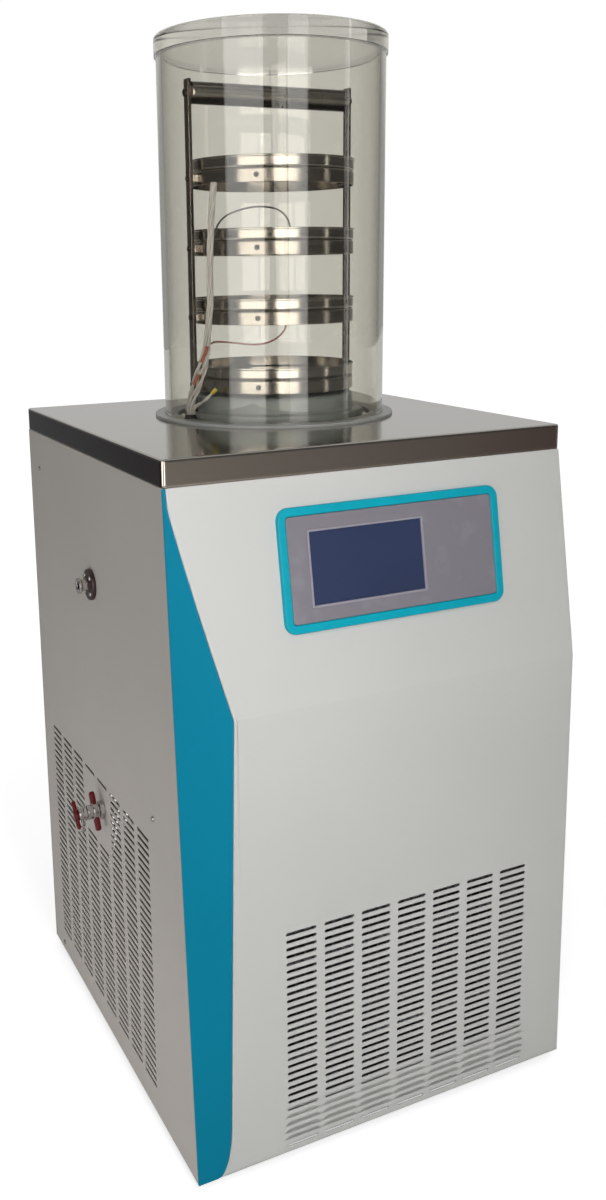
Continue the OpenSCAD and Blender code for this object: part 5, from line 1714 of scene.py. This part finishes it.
@dataclass
class Feet(SubAssembly):
    """Four levelling feet: rubber pad, lock nut and stem."""

    pad_r: float = 20
    stem_r: float = 5

    def build(self, shop: Workshop) -> None:
        """Makes the pads and the stems at the corners of the feet's box.

        Args:
            shop: where the pieces are made.
        """
        box, r, s = Span.of("levelling_feet"), self.pad_r, self.stem_r
        x0, y0, _ = box.lo + r
        x1, y1, _ = box.hi - r
        at, top = np.array([(x, y, 0) for x in (x0, x1) for y in (y0, y1)]), box.hi[2]
        pad = turned([(0, 0, 0), (r - 1, 0, 0.8), (r, 1.2, 0.8), (r, 5, 1.4), (r - 3, 7, 1.5), (9, 7.4, 0.5),
                      (9, 8.4, 0.3), (0, 8.4, 0)], 4, 64)
        stem = turned([(0, 8, 0), (s, 8, 0), (s, top - 1, 0.3), (s - 1, top, 0.2), (0, top, 0)], 3, 32)
        nut = hex_nut(8, 4.5, s).moved((0, 0, 9))
        shop.make("foot_pads", pad.copied(at), "black_rubber", "levelling_feet", slot="black_plastic")
        shop.make("foot_stems", (stem + nut).copied(at), "plated_screw")


# ---------------------------------------------------------------- studio


@dataclass
class Studio:
    """Camera, pale floor, soft lights and a white surround, in metres.

    Args:
        eye: place of the camera.
        yaw: its turn from Y towards X.
        pitch: how far it looks down.
        roll: its tilt.
        focal: focal length, in the unit of centre and frame_size.
        centre: point of the frame that it looks at, from the top left.
        frame_size: width and height of the frame.
        dim: brightness of the mirrored room outside its pale zones.
        zones: pale zones: direction, cosines where each begins and is full, brightness.
        ambient: light of the surround on the object.
        behind_glass: brightness of surround and floor through the clear walls.
        floor_lift: glow of the floor near the machine.
        floor_far: its glow far from the machine.
        floor_glass: how much less than the surround it glows through clear walls.
        floor_mirrored: its glow behind the machine, as mirrors show it.
        floor_fade: distances at which its glow leaves floor_lift and reaches floor_far.
        floor_half: half its width.
        jar: middle of the jar, which the windows face.
        room: height of the windows' middle above the floor, their distance and height.
        windows: name, degrees from the viewer, width and watts.
        soft: name, place, aim, size and watts of each lamp.
    """

    eye: Triple = (-0.7173, -1.4076, 1.0990)
    yaw: float = 0.4443
    pitch: float = 0.218
    roll: float = -0.0143
    focal: float = 1137.17
    centre: Pair = (243.69, 517.78)
    frame_size: tuple[int, int] = (606, 1200)
    dim: float = 0.09
    zones: tuple[tuple[Triple, float, float, float], ...] = (
        ((0.25, 0.50, 0.83), 0.52, 0.64, 0.62), ((0.43, 0.90, 0.0), 0.66, 0.84, 0.40))
    ambient: float = 0.22
    behind_glass: float = 0.80
    floor_lift: float = 0.70
    floor_far: float = 0.86
    floor_glass: float = 0.17
    floor_mirrored: float = 0.45
    floor_fade: Pair = (0.5, 2.2)
    floor_half: float = 14.0
    jar: Triple = (0.015, 0.027, 1.15)
    room: Triple = (1.45, 3.2, 2.6)
    windows: tuple[tuple[str, float, float, float], ...] = (
        ("window_left", -28, 2.2, 42.0), ("window_right", 24.0, 1.05, 21.0), ("window_far", 78.0, 0.16, 3.4))
    soft: tuple[tuple[str, Triple, Triple, Pair, float], ...] = (
        ("fill", (-2.6, -1.9, 1.45), (0.0, 0.0, 0.9), (2.2, 2.2), 11.0),
        ("front_fill", (-0.2, -3.0, 1.2), (0.0, 0.0, 0.5), (1.5, 2.2), 13.5),
        ("key", (-0.35, -1.25, 1.75), (-0.2, -0.3, 0.7), (0.3, 0.9), 1.4),
        ("strip", (-0.30, -1.0, 0.9), (-0.25, -0.3, 0.6), (0.2, 1.2), 3.0),
        ("low", (-1.15, -0.05, 0.08), (-0.28, 0.0, 0.2), (0.5, 0.2), 2.0),
        ("overhead", (0.2, 0.4, 3.4), (0.0, 0.0, 0.9), (2.4, 2.4), 10.0))

    def camera(self) -> None:
        """Camera at the viewing place, with the shift that the framing needs.

        It looks along (sin yaw cos pitch, cos yaw cos pitch, -sin pitch), and its
        right hand is turned about that by roll.
        """
        (sy, cy), (sp, cp), (sr, cr) = ((math.sin(a), math.cos(a)) for a in (self.yaw, self.pitch, self.roll))
        ahead, right = np.array([sy * cp, cy * cp, -sp]), np.array([cy, -sy, 0.0])
        right = cr * right + sr * np.cross(right, ahead)
        data = bpy.data.cameras.new("camera")
        width, height = self.frame_size
        data.sensor_width = 36.0
        data.lens = self.focal * data.sensor_width / height
        data.shift_x = (width / 2 - self.centre[0]) / height
        data.shift_y = (self.centre[1] - height / 2) / height
        data.clip_start, data.clip_end = 0.05, 60
        bpy.context.scene.camera = stand("camera", data, seat_at(self.eye, right, -ahead))

    def surround(self) -> None:
        """World: white to the camera, a grey room through the jar, dim on the object.

        Reflections see a room that is pale above and behind the machine and dim
        elsewhere.  Each mask in turn puts its own level over the ones before it.
        """
        world = bpy.data.worlds.new("surround")
        world.use_nodes = True
        nodes = Nodes(world.node_tree)
        path, through = nodes.sight()
        pale = [nodes.span(nodes.put("VectorMath", {0: nodes.coords["Generated"], 1: side}, "Value",
                                     operation="DOT_PRODUCT"), self.dim, bright, low, high)
                for side, low, high, bright in self.zones]
        level = self.ambient
        for mask, value in ((path["Is Glossy Ray"], nodes.math("MAXIMUM", *pale)), (through, self.behind_glass),
                            (path["Is Camera Ray"], 1.0)):
            level = nodes.put("Mix", {0: mask, 2: level, 3: value})
        back = nodes.tree.nodes["Background"]
        nodes.feed(back.inputs["Color"], (1, 1, 1, 1))
        nodes.feed(back.inputs["Strength"], level)
        bpy.context.scene.world = world

    def floor(self) -> None:
        """Wide pale floor that keeps a soft shadow.

        Its glow is the sum of what the camera, the clear walls and mirrors see:
        near white to the camera, and in mirrors brighter behind the machine, on
        its right.
        """
        mesh = bpy.data.meshes.new("floor")
        s = self.floor_half
        mesh.from_pydata([(-s, -s, 0), (s, -s, 0), (s, s, 0), (-s, s, 0)], [], [(0, 1, 2, 3)])
        p = Painter("floor")
        path, through = p.sight()
        away = p.put("VectorMath", {0: p.coords["Object"]}, "Value", operation="LENGTH")
        seen = p.math("MULTIPLY", path["Is Camera Ray"],
                      p.span(away, self.floor_lift, self.floor_far, *self.floor_fade))
        glass = p.math("MULTIPLY", through, self.behind_glass - self.floor_glass)
        bounced = p.math("MULTIPLY", p.math("GREATER_THAN", path["Glossy Depth"], 0.5),
                         p.math("LESS_THAN", path["Diffuse Depth"], 0.5))
        right = p.math("GREATER_THAN", p.math("MULTIPLY_ADD", p.axis("Y"), 0.2, p.axis("X")), 0.0)
        mirrored = p.math("MULTIPLY", p.math("MULTIPLY", bounced, right),
                          p.span(p.axis("Y"), 0.0, self.floor_mirrored, 0.6, 2.5))
        p.coat(Base_Color=(0.8, 0.8, 0.8, 1), Roughness=0.9, Specular_IOR_Level=0.0, Emission_Color=(1, 1, 1, 1),
               Emission_Strength=p.math("ADD", p.math("ADD", seen, glass), mirrored))
        mesh.materials.append(p.material)
        stand("floor", mesh, np.eye(4))

    def lamp(self, name: str, at: Array | Triple, aim: Triple, size: Pair, power: float) -> bpy.types.Object:
        """Rectangular soft light.

        Args:
            name: its name.
            at: its place.
            aim: the point that it faces.
            size: width and height.
            power: watts.

        Returns:
            The lamp, hidden from the camera.
        """
        data = bpy.data.lights.new(name, "AREA")
        data.shape, data.energy = "RECTANGLE", power
        data.size, data.size_y = size
        z = np.subtract(at, aim)
        made = stand(name, data, seat_at(at, np.cross(UP, z), z))
        made.visible_camera = False
        return made

    def lights(self) -> None:
        """Three tall windows that only reflect, and soft lamps that only light.

        A window stands at the jar's place + distance (sin a, cos a), with a its
        angle from the direction towards the viewer.
        """
        level, distance, height = self.room
        for name, turn, width, power in self.windows:
            a = math.pi + self.yaw - math.radians(turn)
            at = (self.jar[0] + distance * math.sin(a), self.jar[1] + distance * math.cos(a), level)
            self.lamp(name, at, self.jar, (width, height), power).visible_diffuse = False
        for lamp in self.soft:
            self.lamp(*lamp).visible_glossy = False

    def build(self) -> None:
        """Sets up all but the camera, which comes before the cords."""
        bpy.context.scene.view_settings.view_transform = "Standard"
        self.surround()
        self.floor()
        self.lights()


def main() -> None:
    """Builds the scene: camera and cords first, then the pieces, then the record of sizes."""
    logging.basicConfig(level=logging.INFO, format="%(message)s")
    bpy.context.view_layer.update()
    studio, shop = Studio(), Workshop(finishes())
    studio.camera()
    shop.dress_frame()
    for group in (Wiring(), Cabinet(), TopPlate(), Console(), BellJar(), TrapMouth(), Rack(), VacuumPort(),
                  DrainValves(), Feet()):
        log.info("%s", type(group).__doc__.splitlines()[0])
        group.build(shop)
    studio.build()


if __name__ == "__main__":
    main()
